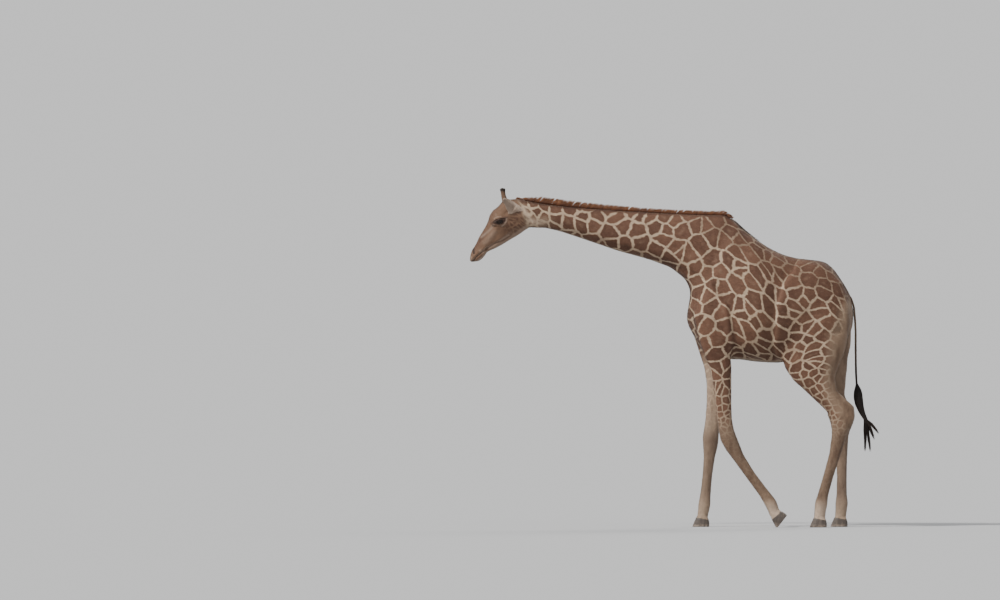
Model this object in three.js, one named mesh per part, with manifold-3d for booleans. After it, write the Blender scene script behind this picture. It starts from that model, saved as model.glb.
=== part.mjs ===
// A still, life-size giraffe: a young adult cow of a southern race, walking with its neck held low and forward.
// Units are millimetres, +Z is up and the floor is z = 0. The head points along -X and the left side faces -Y.
// Muscles, neck, head and limbs are lofted and joined, and thin cuts then part the body where a person names it.
import * as THREE from "three";
import { mergeVertices } from "three/addons/utils/BufferGeometryUtils.js";
import Module from "manifold-3d";

const wasm = await Module();
wasm.setup();

// ---- Driving dimensions -----------------------------------------------------------------------------------------
const GAP = 0.35; // air between two parts that touch
const SEAT_GAP = 0.5; // air round what is seated on the curved body
const SPAN = 8000; // side of the blocks that make the cuts, larger than the animal

const POLL = [-2137, 2727]; // where the head hinges on the neck, seen from the side
const FACE_ANGLE = THREE.MathUtils.degToRad(46.5); // how far the face points below the horizon
const EYE = { along: 203, up: 50, side: 88, radius: 27 }; // in the head's own frame

const ORBIT = { side: 70, radius: 52, flattening: 0.78 };

const HORN_SPREAD = 41; // from the middle of the head to the middle of each horn's root
const HORN_TOP = 2902;
const HORN_RADIUS = 21;
const HORN_DEPTH = 132; // from a horn's top down to its root inside the head
const HORN_SPLAY = 0.07; // how far a horn leans outwards for each unit that it rises

const EAR_ROOT = { x: -2142, side: 66, z: 2716 };
const EAR_TIP = { x: -2286, side: 168, z: 2803 };
const EAR_CUP = 0.0055; // how deep the ear curls: depth is this times the square of the distance from its middle

const MANE_HALF_WIDTH = 16;
const TAIL_RADIUS = 10;

const CORONET = 88; // height of the top of a standing hoof
const CLAW_HALF = 28; // half the width of one of a foot's two claws
const CLEFT = 5; // air between the two claws of a foot
const FORE_TRACK = 126; // how far left or right of the middle the forefeet tread
const HIND_TRACK = 150;
const TOE_OFF = THREE.MathUtils.degToRad(-52); // turn of the left forefoot, which stands on its toe tips

// ---- Colours ----------------------------------------------------------------------------------------------------
const dull = (color, roughness) => new THREE.MeshStandardMaterial({ color, roughness, metalness: 0 });
const coat = () => dull(0x8a5f3c, 0.85);
const paleCoat = () => dull(0xc9b499, 0.85);
const maneHair = () => dull(0x6b3a1c, 0.9);
const blackHair = () => dull(0x1b1512, 0.8);
const hoofHorn = () => dull(0x3a3029, 0.55);
const eyeball = () => dull(0x120b08, 0.08);

// ---- Lofting ----------------------------------------------------------------------------------------------------
const signedPower = (value, power) => Math.sign(value) * Math.abs(value) ** power;

// One section of a loft between two edge lines: the points of the front (or top) edge and of the back (or lower)
// edge, its half width, and how much wider (or, below zero, narrower) it is at the front edge than at the back.
const section = (frontX, frontZ, backX, backZ, half, flare = 0, side = 0) => ({
  front: new THREE.Vector3(frontX, side, frontZ),
  back: new THREE.Vector3(backX, side, backZ),
  half,
  flare,
});

// The ring of points round a section. swell adds the same skin all round, for clearances.
function ringOf({ front, back, half, flare }, sides, swell) {
  const squareness = 0.92; // 1 is an ellipse, less is fuller
  const middle = front.clone().add(back).multiplyScalar(0.5);
  const reach = front.clone().sub(middle);
  reach.setLength(reach.length() + swell);
  return Array.from({ length: sides }, (_, j) => {
    const angle = (2 * Math.PI * j) / sides;
    const along = signedPower(Math.cos(angle), squareness);
    const across = signedPower(Math.sin(angle), squareness) * (half + swell) * (1 + flare * along);
    return middle.clone().addScaledVector(reach, along).add(new THREE.Vector3(0, across, 0));
  });
}

const middleOf = (ring) =>
  ring.reduce((sum, point) => sum.add(point), new THREE.Vector3()).divideScalar(ring.length);

// Joins rings of points into one closed geometry. Each end is closed by a fan to the middle of its last ring.
function closedRings(rings) {
  const sides = rings[0].length;
  const points = rings.flat();
  const triangles = [];
  for (let ring = 0; ring < rings.length - 1; ring++) {
    for (let j = 0; j < sides; j++) {
      const a = ring * sides + j;
      const b = ring * sides + ((j + 1) % sides);
      triangles.push(a, a + sides, b, b, a + sides, b + sides);
    }
  }
  for (const last of [false, true]) {
    const start = last ? (rings.length - 1) * sides : 0;
    for (let j = 0; j < sides; j++) {
      const a = start + j;
      const b = start + ((j + 1) % sides);
      triangles.push(points.length, last ? b : a, last ? a : b);
    }
    points.push(middleOf(points.slice(start, start + sides)));
  }
  return new THREE.BufferGeometry().setFromPoints(points).setIndex(triangles);
}

// A closed geometry as a manifold-3d solid, turned the right way out whichever way its rings ran.
function solid(geometry) {
  const bare = geometry.clone();
  bare.deleteAttribute("normal");
  bare.deleteAttribute("uv");
  const merged = mergeVertices(bare, 1e-3);
  const vertProperties = new Float32Array(merged.attributes.position.array);
  const triVerts = new Uint32Array(merged.index.array);
  const made = new wasm.Manifold(new wasm.Mesh({ numProp: 3, vertProperties, triVerts }));
  if (made.volume() > 0) return made;
  return new wasm.Manifold(new wasm.Mesh({ numProp: 3, vertProperties, triVerts: triVerts.reverse() }));
}

// The solid lofted through the sections, with the same skin over its sides and its ends.
function loft(sections, sides, swell = 0) {
  const rings = sections.map((one) => ringOf(one, sides, swell));
  for (const [end, next] of [[rings[0], rings[1]], [rings.at(-1), rings.at(-2)]]) {
    const outwards = middleOf(end).sub(middleOf(next)).setLength(swell);
    end.forEach((point) => point.add(outwards));
  }
  return solid(closedRings(rings));
}

// The sections of a limb. Its joints give a line down its middle, and each station says where on that line it is
// (joint number, and how far on towards the next), its reach to the front and back of the line, and its half width.
function limbSections(joints, stations) {
  const line = new THREE.CatmullRomCurve3(joints.map((joint) => new THREE.Vector3(...joint)));
  return stations.map(([at, fore, aft, half, flare = 0]) => {
    const here = line.getPoint(at / (joints.length - 1));
    const down = line.getTangent(at / (joints.length - 1));
    const forward = new THREE.Vector3(down.z, 0, -down.x).normalize();
    const front = here.clone().addScaledVector(forward, fore);
    const back = here.clone().addScaledVector(forward, -aft);
    return { front, back, half, flare };
  });
}

// ---- Joining and cutting ----------------------------------------------------------------------------------------
const join = (solids) => solids.reduce((sum, next) => sum.add(next));

// The half of space on the right of the line from one point [x, z] to another, as the left side is looked at: the
// front half where the line runs down. It stays short of the line by the distance given.
function halfSpace([from, to], short = GAP / 2) {
  const along = new THREE.Vector3(to[0] - from[0], 0, to[1] - from[1]).normalize();
  const away = new THREE.Vector3(along.z, 0, -along.x);
  const across = new THREE.Vector3(0, 1, 0);
  const turn = new THREE.Matrix4().makeBasis(away, across, away.clone().cross(across));
  const centre = new THREE.Vector3(from[0], 0, from[1]).addScaledVector(away, SPAN / 2 + short);
  return solid(new THREE.BoxGeometry(SPAN, SPAN, SPAN).applyMatrix4(turn.setPosition(centre)));
}

const ahead = (body, line) => body.intersect(halfSpace(line));
const behind = (body, [from, to]) => body.intersect(halfSpace([to, from]));

// The piece of a cut that matters, without any crumb that the cut left beside it.
const largest = (body) => body.decompose().reduce((best, next) => (next.volume() > best.volume() ? next : best));

// ---- Trunk and neck ---------------------------------------------------------------------------------------------
// Both run along the spine: top edge, lower edge, half width and flare of each section.
const trunkSections = [
  section(-678, 2000, -716, 1772, 58),
  section(-668, 2200, -690, 1702, 126, -0.1), // breast
  section(-612, 2450, -640, 1610, 184, -0.25),
  section(-530, 2620, -580, 1500, 218, -0.42),
  section(-430, 2664, -475, 1442, 246, -0.5),
  section(-332, 2648, -360, 1432, 268, -0.5), // withers
  section(-231, 2551, -240, 1428, 288, -0.42),
  section(-111, 2457, -130, 1411, 302, -0.34), // deepest ribs
  section(0, 2385, -25, 1405, 302, -0.26),
  section(111, 2332, 75, 1402, 292, -0.18),
  section(231, 2300, 200, 1418, 276, -0.08), // loin and flank
  section(359, 2287, 335, 1450, 258, 0.02),
  section(470, 2271, 460, 1490, 234, 0.06), // hips
  section(548, 2206, 570, 1530, 200, 0.04),
  section(624, 2094, 640, 1580, 156),
  section(682, 1985, 688, 1650, 110),
  section(708, 1880, 712, 1745, 60), // beneath the tail
];

const neckSections = [
  section(-240, 2540, -400, 1860, 178, -0.35),
  section(-385, 2674, -600, 1950, 172, -0.35), // withers
  section(-500, 2677, -682, 2012, 162, -0.34),
  section(-620, 2679, -724, 2114, 150, -0.32),
  section(-770, 2683, -850, 2216, 136, -0.3),
  section(-980, 2693, -1026, 2282, 122, -0.27),
  section(-1270, 2709, -1308, 2361, 106, -0.22),
  section(-1575, 2729, -1599, 2461, 91, -0.16),
  section(-1790, 2748, -1796, 2526, 82, -0.1),
  section(-1950, 2768, -1924, 2556, 77, -0.06),
  section(-2055, 2789, -2010, 2554, 75), // throat
  section(-2130, 2798, -2085, 2562, 70),
];

// ---- Head -------------------------------------------------------------------------------------------------------
// A point of the head's own frame: along the face from the poll to the muzzle, and up, square to it.
function facePoint(along, up) {
  const [cos, sin] = [Math.cos(FACE_ANGLE), Math.sin(FACE_ANGLE)];
  return [POLL[0] - along * cos - up * sin, POLL[1] - along * sin + up * cos];
}

const faceSection = (topAlong, top, lowAlong, low, half, flare) =>
  section(...facePoint(topAlong, top), ...facePoint(lowAlong, low), half, flare);

const headSections = [
  faceSection(-80, 33, 0, -140, 58),
  faceSection(-34, 80, 30, -156, 66),
  faceSection(14, 122, 62, -176, 78, 0.04),
  faceSection(66, 149, 104, -163, 88, 0.1), // nape and angle of the jaw
  faceSection(122, 146, 150, -155, 94, 0.22), // root of the horns
  faceSection(178, 155, 196, -144, 96, 0.34), // brow and eyes
  faceSection(226, 146, 238, -131, 90, 0.32),
  faceSection(269, 122, 285, -118, 78, 0.2),
  faceSection(318, 106, 338, -104, 67, 0.1),
  faceSection(372, 95, 392, -86, 57, 0.04),
  faceSection(424, 83, 436, -67, 50),
  faceSection(468, 67, 468, -55, 48), // corner of the mouth
  faceSection(504, 57, 496, -62, 51, 0.04),
  faceSection(540, 52, 536, -64, 55, 0.04), // nostrils
  faceSection(576, 36, 570, -57, 51),
  faceSection(603, 19, 597, -37, 40),
  faceSection(622, 2, 619, -18, 19), // upper lip
];

// The lower jaw lies under the mouth and under the crease along the cheek, ahead of the cheek's lower end.
const jawLines = [
  [facePoint(640, -17), facePoint(464, -40)],
  [facePoint(464, -40), facePoint(316, -77)],
  [facePoint(255, -40), facePoint(275, -160)],
];

const eyeAt = (side) => {
  const [x, z] = facePoint(EYE.along, EYE.up);
  return new THREE.Vector3(x, side * EYE.side, z);
};

// The bony rim that the eye sits in.
function orbit(side) {
  const rim = new THREE.SphereGeometry(ORBIT.radius, 12, 6).scale(1, ORBIT.flattening, 0.86);
  const [x, z] = facePoint(EYE.along, EYE.up);
  return solid(rim.rotateY(-FACE_ANGLE).translate(x, side * ORBIT.side, z));
}

function eye(side, swell = 0) {
  const ball = new THREE.SphereGeometry(EYE.radius + swell, 12, 7);
  return solid(ball.translate(...eyeAt(side)));
}

// A horn: skin-covered bone, waisted, with a brush of hair round its top.
function horn(side) {
  const rows = [
    { rise: 0, x: -2264, radius: 1.7 },
    { rise: 34, x: -2270, radius: 1.3 },
    { rise: 66, x: -2279, radius: 1.02 },
    { rise: 98, x: -2283, radius: 1 },
    { rise: 118, x: -2286, radius: 1.24 },
    { rise: HORN_DEPTH, x: -2286, radius: 0.9 },
  ];
  const sections = rows.map(({ rise, x, radius }) => {
    const reach = radius * HORN_RADIUS;
    const height = HORN_TOP - HORN_DEPTH + rise;
    const out = side * (HORN_SPREAD + rise * HORN_SPLAY);
    return section(x - reach, height, x + reach, height, reach, 0, out);
  });
  return loft(sections, 10);
}

// An ear: a cupped leaf, seen from its hollow side. Each row gives how far along the ear it is, the reach of its
// lower and upper edges from the line to the tip, and its thickness.
function ear(side) {
  const rows = [
    [-0.14, 18, 18, 30],
    [0.06, 30, 25, 32],
    [0.2, 62, 31, 18],
    [0.36, 72, 34, 9],
    [0.56, 58, 34, 8],
    [0.76, 38, 30, 8],
    [0.92, 20, 20, 7],
    [1, 7, 7, 5],
  ];
  const steps = [-1, -0.5, 0, 0.5, 1];
  const root = new THREE.Vector3(EAR_ROOT.x, side * EAR_ROOT.side, EAR_ROOT.z);
  const axis = new THREE.Vector3(EAR_TIP.x, side * EAR_TIP.side, EAR_TIP.z).sub(root);
  const along = axis.clone().normalize();
  const up = new THREE.Vector3(0, 0, 1).addScaledVector(along, -along.z).normalize();
  const hollow = along.clone().cross(up).multiplyScalar(-side);
  const rings = rows.map(([at, lower, upper, thickness]) => {
    const middle = root.clone().addScaledVector(axis, at);
    const wall = (face) => (step) => {
      const width = step * (step < 0 ? lower : upper);
      const depth = EAR_CUP * width * width + face * (1 + (thickness / 2) * Math.sqrt(1 - step * step));
      return middle.clone().addScaledVector(up, width).addScaledVector(hollow, depth);
    };
    return [...steps.map(wall(1)), ...steps.toReversed().map(wall(-1))];
  });
  return solid(closedRings(rings));
}

// ---- Legs -------------------------------------------------------------------------------------------------------
// Stations down a foreleg, whose joints are: top of the shoulder blade, shoulder, elbow, knee, fetlock, coronet.
const foreStations = [
  [0, 80, 90, 48],
  [0.35, 118, 105, 64],
  [0.7, 150, 128, 84],
  [1, 163, 145, 92], // point of the shoulder
  [1.35, 150, 136, 90],
  [1.7, 134, 106, 82],
  [2, 112, 86, 72], // elbow
  [2.25, 88, 74, 63],
  [2.5, 73, 72, 55],
  [2.75, 64, 70, 50],
  [2.9, 66, 70, 52],
  [3, 70, 73, 56], // knee
  [3.12, 60, 71, 52],
  [3.27, 45, 55, 41],
  [3.5, 41, 46, 36],
  [3.76, 43, 46, 36],
  [3.92, 49, 52, 44],
  [4, 51, 55, 48], // fetlock
  [4.5, 46, 50, 46],
  [5, 47, 48, 52],
];

// Stations down a hind leg, whose joints are: hip, thigh, stifle, gaskin, hock, top of the shank, fetlock, coronet.
const hindStations = [
  [0, 120, 135, 60],
  [0.5, 205, 214, 90],
  [1, 268, 262, 108],
  [1.5, 292, 278, 112],
  [2, 290, 272, 106], // stifle
  [2.35, 250, 240, 95],
  [2.65, 199, 206, 84],
  [3, 130, 158, 72], // gaskin
  [3.5, 103, 92, 58],
  [3.8, 106, 98, 54],
  [4, 116, 128, 54, 0.1], // hock
  [4.35, 104, 120, 55, 0.1],
  [4.7, 94, 98, 54],
  [5, 79, 72, 50],
  [5.12, 68, 60, 45],
  [5.35, 50, 48, 39],
  [5.6, 46, 43, 37],
  [5.85, 47, 44, 41],
  [6, 55, 55, 49], // fetlock
  [6.5, 51, 50, 47],
  [7, 50, 48, 52],
];

// Lines are [from, to], each running so that what lies above it is ahead: from right to left.
const legs = [
  {
    name: "left_fore",
    side: -1,
    stations: foreStations,
    joints: [[-430, -110, 2230], [-500, -190, 1800], [-414, -166, 1370], [-360, -142, 762], [4, -132, 200],
      [38, -130, 112]],
    knee: [[0, 860], [-700, 610]],
    fetlock: [[300, 400], [-300, 100]],
    foot: { x: 38, side: -130, z: 112, tilt: TOE_OFF },
  },
  {
    name: "right_fore",
    side: 1,
    stations: foreStations,
    joints: [[-455, 110, 2230], [-522, 190, 1800], [-452, 164, 1370], [-506, 132, 765], [-560, FORE_TRACK, 192],
      [-576, FORE_TRACK, CORONET]],
    knee: [[0, 655], [-900, 655]],
    fetlock: [[0, 250], [-900, 250]],
    foot: { x: -576, side: FORE_TRACK, z: CORONET, tilt: 0 },
  },
  {
    name: "left_hind",
    side: -1,
    stations: hindStations,
    joints: [[470, -115, 2130], [432, -160, 1790], [362, -168, 1480], [412, -170, 1215], [598, -160, 992],
      [598, -156, 828], [434, -HIND_TRACK, 206], [421, -HIND_TRACK, CORONET]],
    knee: [[900, 860], [300, 740]],
    fetlock: [[900, 300], [0, 230]],
    foot: { x: 421, side: -HIND_TRACK, z: CORONET, tilt: 0 },
  },
  {
    name: "right_hind",
    side: 1,
    stations: hindStations,
    joints: [[475, 115, 2130], [448, 160, 1790], [430, 168, 1500], [512, 170, 1215], [606, 160, 975],
      [616, 156, 812], [618, HIND_TRACK, 206], [608, HIND_TRACK, CORONET]],
    knee: [[900, 800], [300, 760]],
    fetlock: [[900, 262], [0, 262]],
    foot: { x: 608, side: HIND_TRACK, z: CORONET, tilt: 0 },
  },
];

const legSolid = (leg, swell = 0) => loft(limbSections(leg.joints, leg.stations), 12, swell);

// The line [from, to] through the top of a hoof, which falls a little towards the heel.
function coronetLine({ x, z, tilt }) {
  const turned = (reach, rise) => [
    x + reach * Math.cos(tilt) + rise * Math.sin(tilt),
    z - reach * Math.sin(tilt) + rise * Math.cos(tilt),
  ];
  return [turned(70, -20), turned(-70, 8)];
}

// One claw of a foot, outer (1) or inner (-1), made standing about the coronet's centre and then tilted.
function claw(leg, outward) {
  const { x, side, z, tilt } = leg.foot;
  const middle = leg.side * outward * (CLAW_HALF + CLEFT / 2);
  const sections = [
    section(-88, -CORONET, 60, -CORONET, CLAW_HALF, -0.3, middle),
    section(-78, -62, 62, -62, CLAW_HALF, -0.26, middle),
    section(-60, -22, 57, -22, CLAW_HALF * 0.96, -0.16, middle),
    section(-44, 20, 46, 20, CLAW_HALF * 0.86, 0, middle),
  ];
  const standing = closedRings(sections.map((one) => ringOf(one, 10, 0)));
  const placed = solid(standing.rotateY(tilt).translate(x, side, z));
  const floor = halfSpace([[1000, 0], [-1000, 0]], 0);
  return behind(placed, coronetLine(leg.foot)).intersect(floor);
}

// ---- Mane and tail ----------------------------------------------------------------------------------------------
// The upright mane, from behind the poll to just past the withers: its top edge and the crest it stands on.
const maneSections = [
  section(-2190, 2812, -2180, 2740, 8),
  section(-2172, 2832, -2160, 2740, 12, -0.4), // forelock
  section(-2120, 2812, -2112, 2740, 12, -0.4),
  section(-2082, 2829, -2075, 2740, MANE_HALF_WIDTH, -0.55),
  section(-1960, 2832, -1950, 2720, MANE_HALF_WIDTH, -0.55),
  section(-1740, 2801, -1732, 2700, MANE_HALF_WIDTH, -0.55),
  section(-1450, 2768, -1445, 2680, MANE_HALF_WIDTH, -0.55),
  section(-1154, 2740, -1150, 2655, MANE_HALF_WIDTH, -0.55),
  section(-855, 2720, -855, 2640, MANE_HALF_WIDTH, -0.55),
  section(-490, 2707, -490, 2630, MANE_HALF_WIDTH, -0.55),
  section(-390, 2715, -400, 2630, MANE_HALF_WIDTH, -0.55),
  section(-300, 2648, -330, 2590, 10, -0.4),
];

// A strand or cord of the tail: rows of x, z, its reach fore and aft, and its half width.
const strand = (rows, sides) =>
  loft(rows.map(([x, z, reach, half, side = 0]) => section(x - reach, z, x + reach, z, half, 0, side)), sides);

const tailDock = () =>
  strand([
    [640, 2030, 22, 24],
    [684, 1955, 20, 21],
    [714, 1880, TAIL_RADIUS + 4, TAIL_RADIUS + 4],
    [727, 1780, TAIL_RADIUS, TAIL_RADIUS],
    [733, 1670, TAIL_RADIUS, TAIL_RADIUS],
    [733, 1500, TAIL_RADIUS, TAIL_RADIUS],
    [735, 1340, TAIL_RADIUS, TAIL_RADIUS],
    [745, 1150, TAIL_RADIUS, TAIL_RADIUS],
  ], 8);

function tailTuft() {
  const brush = [
    [746, 1212, 13, 13],
    [751, 1178, 36, 32],
    [754, 1110, 45, 40],
    [762, 1048, 40, 36],
    [786, 978, 29, 27],
    [815, 925, 20, 20],
    [828, 880, 15, 16],
  ];
  const lock = (tipX, tipZ, side) => [
    [808, 945, 9, 10, side / 3],
    [(826 + tipX) / 2, (880 + tipZ) / 2 + 20, 9, 9, side * 0.8],
    [tipX, tipZ, 2.5, 2.5, side],
  ];
  const locks = [lock(812, 640, -14), lock(860, 636, 12), lock(893, 742, -20), lock(936, 792, 18)];
  return join([strand(brush, 12), ...locks.map((rows) => strand(rows, 7))]);
}

// ---- The whole body, and where it is parted ---------------------------------------------------------------------
const bellyLines = { fore: [[0, 1422], [-900, 1422]], hind: [[800, 1755], [20, 1385]] };
const bellyLine = (leg) => (leg.stations === foreStations ? bellyLines.fore : bellyLines.hind);

const trunkAndNeck = (swell) =>
  join([loft(trunkSections, 24, swell), loft(neckSections, 18, swell), loft(headSections, 18, swell)]);
const upperLegs = (swell) => join(legs.map((leg) => ahead(legSolid(leg, swell), bellyLine(leg))));
const body = trunkAndNeck(0).add(upperLegs(0)).add(orbit(-1)).add(orbit(1));
const clearance = trunkAndNeck(SEAT_GAP).add(upperLegs(SEAT_GAP));

const headLine = [[-2172, 2860], [-2052, 2500]];
const neckLines = [[[-1745, 2900], [-1715, 2400]], [[-1235, 2900], [-1190, 2200]]];
const chestLine = [[-470, 2760], [-722, 1960]];
const ribLine = [[-118, 2900], [-118, 900]];
const loinLine = [[205, 2900], [175, 900]];
const tuftLine = [[900, 1200], [600, 1200]];

// ---- Assembly ---------------------------------------------------------------------------------------------------
const group = new THREE.Group();

// Adds a solid to the animal as one named mesh.
function part(name, shape, material) {
  const { vertProperties, triVerts } = shape.getMesh();
  const geometry = new THREE.BufferGeometry();
  geometry.setAttribute("position", new THREE.BufferAttribute(new Float32Array(vertProperties), 3));
  geometry.setIndex(new THREE.BufferAttribute(new Uint32Array(triVerts), 1));
  geometry.computeVertexNormals();
  const mesh = new THREE.Mesh(geometry, material);
  mesh.name = name;
  group.add(mesh);
}

// Parts a body along lines that run down, from the head backwards, and names the pieces.
function partAlong(whole, lines, names, material) {
  let rest = whole;
  names.forEach((name, i) => {
    const piece = i < lines.length ? ahead(rest, lines[i]) : rest;
    if (i < lines.length) rest = behind(rest, lines[i]);
    part(name, largest(piece), material());
  });
}

function addHead(head) {
  const jawSpace = (short) => jawLines.map((line) => halfSpace(line, short)).reduce((a, b) => a.intersect(b));
  const sockets = eye(-1, GAP).add(eye(1, GAP));
  part("head", largest(head.subtract(jawSpace(-GAP / 2)).subtract(sockets)), coat());
  part("lower_jaw", largest(head.intersect(jawSpace(GAP / 2))), paleCoat());
  for (const [name, side] of [["left", -1], ["right", 1]]) {
    part(`${name}_eye`, eye(side), eyeball());
    part(`${name}_ossicone`, largest(horn(side).subtract(clearance)), coat());
    part(`${name}_ear`, largest(ear(side).subtract(clearance)), paleCoat());
  }
}

function addLeg(leg) {
  const below = behind(legSolid(leg), bellyLine(leg)).subtract(loft(trunkSections, 24, GAP));
  const limb = ahead(largest(below), coronetLine(leg.foot));
  const upper = leg.stations === foreStations ? "forearm" : "thigh";
  part(`${leg.name}_${upper}`, largest(ahead(limb, leg.knee)), coat());
  part(`${leg.name}_shank`, largest(ahead(behind(limb, leg.knee), leg.fetlock)), paleCoat());
  part(`${leg.name}_pastern`, largest(behind(limb, leg.fetlock)), paleCoat());
  part(`${leg.name}_claw_outer`, claw(leg, 1), hoofHorn());
  part(`${leg.name}_claw_inner`, claw(leg, -1), hoofHorn());
}

addHead(ahead(body, headLine));
partAlong(
  behind(body, headLine),
  [...neckLines, chestLine, ribLine, loinLine],
  ["neck_upper", "neck_middle", "neck_lower", "shoulders", "barrel", "hindquarters"],
  coat,
);
legs.forEach(addLeg);
partAlong(
  loft(maneSections, 8).subtract(clearance),
  neckLines,
  ["mane_upper", "mane_middle", "mane_lower"],
  maneHair,
);
part("tail", largest(ahead(tailDock(), tuftLine).subtract(clearance)), coat());
part("tail_tuft", largest(behind(tailTuft(), tuftLine)), blackHair());

// The origin lies on the floor, under the middle of the animal.
const size = new THREE.Box3().setFromObject(group);
const centre = size.getCenter(new THREE.Vector3());
group.children.forEach((mesh) => mesh.geometry.translate(-centre.x, -centre.y, -size.min.z));

export default group;
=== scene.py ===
"""A life-size giraffe cow in mid-walk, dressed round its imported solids.

One skin replaces the parts of flesh. On it grow the coat's tufts, the mane, the tail's brush and the horns'
hair. Eyes, horns and hooves are pieces of their own. Lengths are metres, +Z is up, the head points along -X
and the left side faces -Y.
"""

from __future__ import annotations

import logging
import math
from collections.abc import Callable
from dataclasses import dataclass, field
from enum import Enum

import bmesh
import bpy
import numpy as np
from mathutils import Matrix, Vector
from mathutils.bvhtree import BVHTree
from mathutils.kdtree import KDTree

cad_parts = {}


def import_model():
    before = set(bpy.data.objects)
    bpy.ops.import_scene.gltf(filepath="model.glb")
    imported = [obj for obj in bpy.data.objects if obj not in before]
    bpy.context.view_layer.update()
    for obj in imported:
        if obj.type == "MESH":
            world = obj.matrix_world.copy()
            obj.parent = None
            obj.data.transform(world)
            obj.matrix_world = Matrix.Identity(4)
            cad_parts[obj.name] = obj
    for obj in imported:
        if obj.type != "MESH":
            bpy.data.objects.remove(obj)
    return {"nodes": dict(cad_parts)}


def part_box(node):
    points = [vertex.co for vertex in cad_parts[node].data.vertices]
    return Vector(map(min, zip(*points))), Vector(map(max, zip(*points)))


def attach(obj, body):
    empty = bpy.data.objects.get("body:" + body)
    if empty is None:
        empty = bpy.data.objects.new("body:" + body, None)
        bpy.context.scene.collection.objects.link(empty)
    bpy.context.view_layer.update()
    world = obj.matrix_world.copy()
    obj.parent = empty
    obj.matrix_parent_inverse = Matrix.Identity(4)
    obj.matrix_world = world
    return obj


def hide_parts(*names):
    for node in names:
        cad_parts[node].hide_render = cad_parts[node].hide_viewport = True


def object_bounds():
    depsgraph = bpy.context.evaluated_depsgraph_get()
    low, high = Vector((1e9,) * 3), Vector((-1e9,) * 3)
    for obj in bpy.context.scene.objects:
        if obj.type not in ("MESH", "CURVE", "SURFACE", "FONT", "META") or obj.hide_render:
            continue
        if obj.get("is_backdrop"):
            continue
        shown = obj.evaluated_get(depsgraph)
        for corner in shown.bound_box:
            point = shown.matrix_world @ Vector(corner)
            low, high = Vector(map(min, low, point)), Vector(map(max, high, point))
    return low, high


LOG = logging.getLogger("giraffe")
BODY = "root"
BAKE_MAP = "OFBake"

Colour = tuple[float, float, float]
Rows = tuple[tuple[float, float], ...]
Array = np.ndarray
Mesh = bpy.types.Mesh
Piece = bpy.types.Object
Material = bpy.types.Material

EARS = ("left_ear", "right_ear")
NECK = ("neck_upper", "neck_middle", "neck_lower")
TRUNK = ("shoulders", "barrel", "hindquarters")


class Side(Enum):
    """Left and right, and the sign of Y on each."""

    LEFT = -1
    RIGHT = 1

    @property
    def word(self) -> str:
        """The side's name as the solids' names begin with it."""
        return self.name.lower()


# ---- Numbers ----


def ramp(low: float, high: float, value: Array) -> Array:
    """Rises smoothly from 0 to 1.

    Args:
        low: The value that gives 0. It may be the larger of the two, and then the ramp falls.
        high: The value that gives 1.
        value: Any array of numbers.

    Returns:
        An array of numbers from 0 to 1.
    """
    share = np.clip((value - low) / (high - low), 0, 1)
    return share * share * (3 - 2 * share)


def bell(value: Array, width: Array | float) -> Array:
    """A bump of height 1 round 0, which is this wide on either side."""
    return np.exp(-((value / width) ** 2))


def at_rows(rows: Array, at: Array, *columns: int) -> tuple[Array, ...]:
    """Reads some columns of a table between its rows, which stand at the values of its first column."""
    return tuple(np.interp(at, rows[:, 0], rows[:, column]) for column in columns)


def unit(vectors: Array) -> Array:
    """The vectors along the last axis, each made one unit long."""
    return vectors / np.maximum(np.linalg.norm(vectors, axis=-1, keepdims=True), 1e-12)


def offset_from_path(points: Array, path: Array) -> Array:
    """How far points of a flat drawing are from a line of straight stretches.

    Args:
        points: The points, one in each row.
        path: The line's corners. A single one is a spot.

    Returns:
        The distances, below zero on the line's right.
    """
    best = np.linalg.norm(points - path[0], axis=1)
    for start, end in zip(path[:-1], path[1:]):
        along = end - start
        gap = points - start
        share = np.clip(gap @ along / (along @ along), 0, 1)
        away = np.linalg.norm(gap - share[:, None] * along, axis=1)
        left = along[0] * gap[:, 1] - along[1] * gap[:, 0] >= 0
        best = np.where(away <= np.abs(best), np.where(left, away, -away), best)
    return best


# ---- Meshes as arrays ----


def read(items: bpy.types.bpy_prop_collection, name: str, width: int, kind: type = np.float32) -> Array:
    """Reads one property of many mesh elements.

    Args:
        items: Vertices, edges or triangles.
        name: The property.
        width: How many numbers it has.
        kind: Their type.

    Returns:
        One row for each element.
    """
    found = np.empty(len(items) * width, kind)
    items.foreach_get(name, found)
    return found.reshape(-1, width).astype(float if kind is np.float32 else kind)


def places(mesh: Mesh) -> Array:
    """The mesh's vertices."""
    return read(mesh.vertices, "co", 3)


def normals(mesh: Mesh) -> Array:
    """The normal at each vertex."""
    return read(mesh.vertices, "normal", 3)


def move_to(mesh: Mesh, points: Array) -> None:
    """Moves the vertices."""
    mesh.vertices.foreach_set("co", points.astype(np.float32).ravel())
    mesh.update()


def add_attribute(mesh: Mesh, name: str, values: Array) -> None:
    """Stores a vector for each vertex under a name that the finishes read."""
    attribute = mesh.attributes.new(name, "FLOAT_VECTOR", "POINT")
    attribute.data.foreach_set("vector", values.astype(np.float32).ravel())


def written(shape: bmesh.types.BMesh, name: str) -> Mesh:
    """Writes a bmesh to a new mesh and frees it."""
    mesh = bpy.data.meshes.new(name)
    shape.to_mesh(mesh)
    shape.free()
    return mesh


def placed(name: str, data: bpy.types.ID) -> Piece:
    """Puts a mesh, a lamp or a camera into the scene."""
    piece = bpy.data.objects.new(name, data)
    bpy.context.scene.collection.objects.link(piece)
    return piece


def box(name: str) -> Array:
    """The lowest and the highest corner of a node's box."""
    return np.array([tuple(corner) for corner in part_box(name)])


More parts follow.
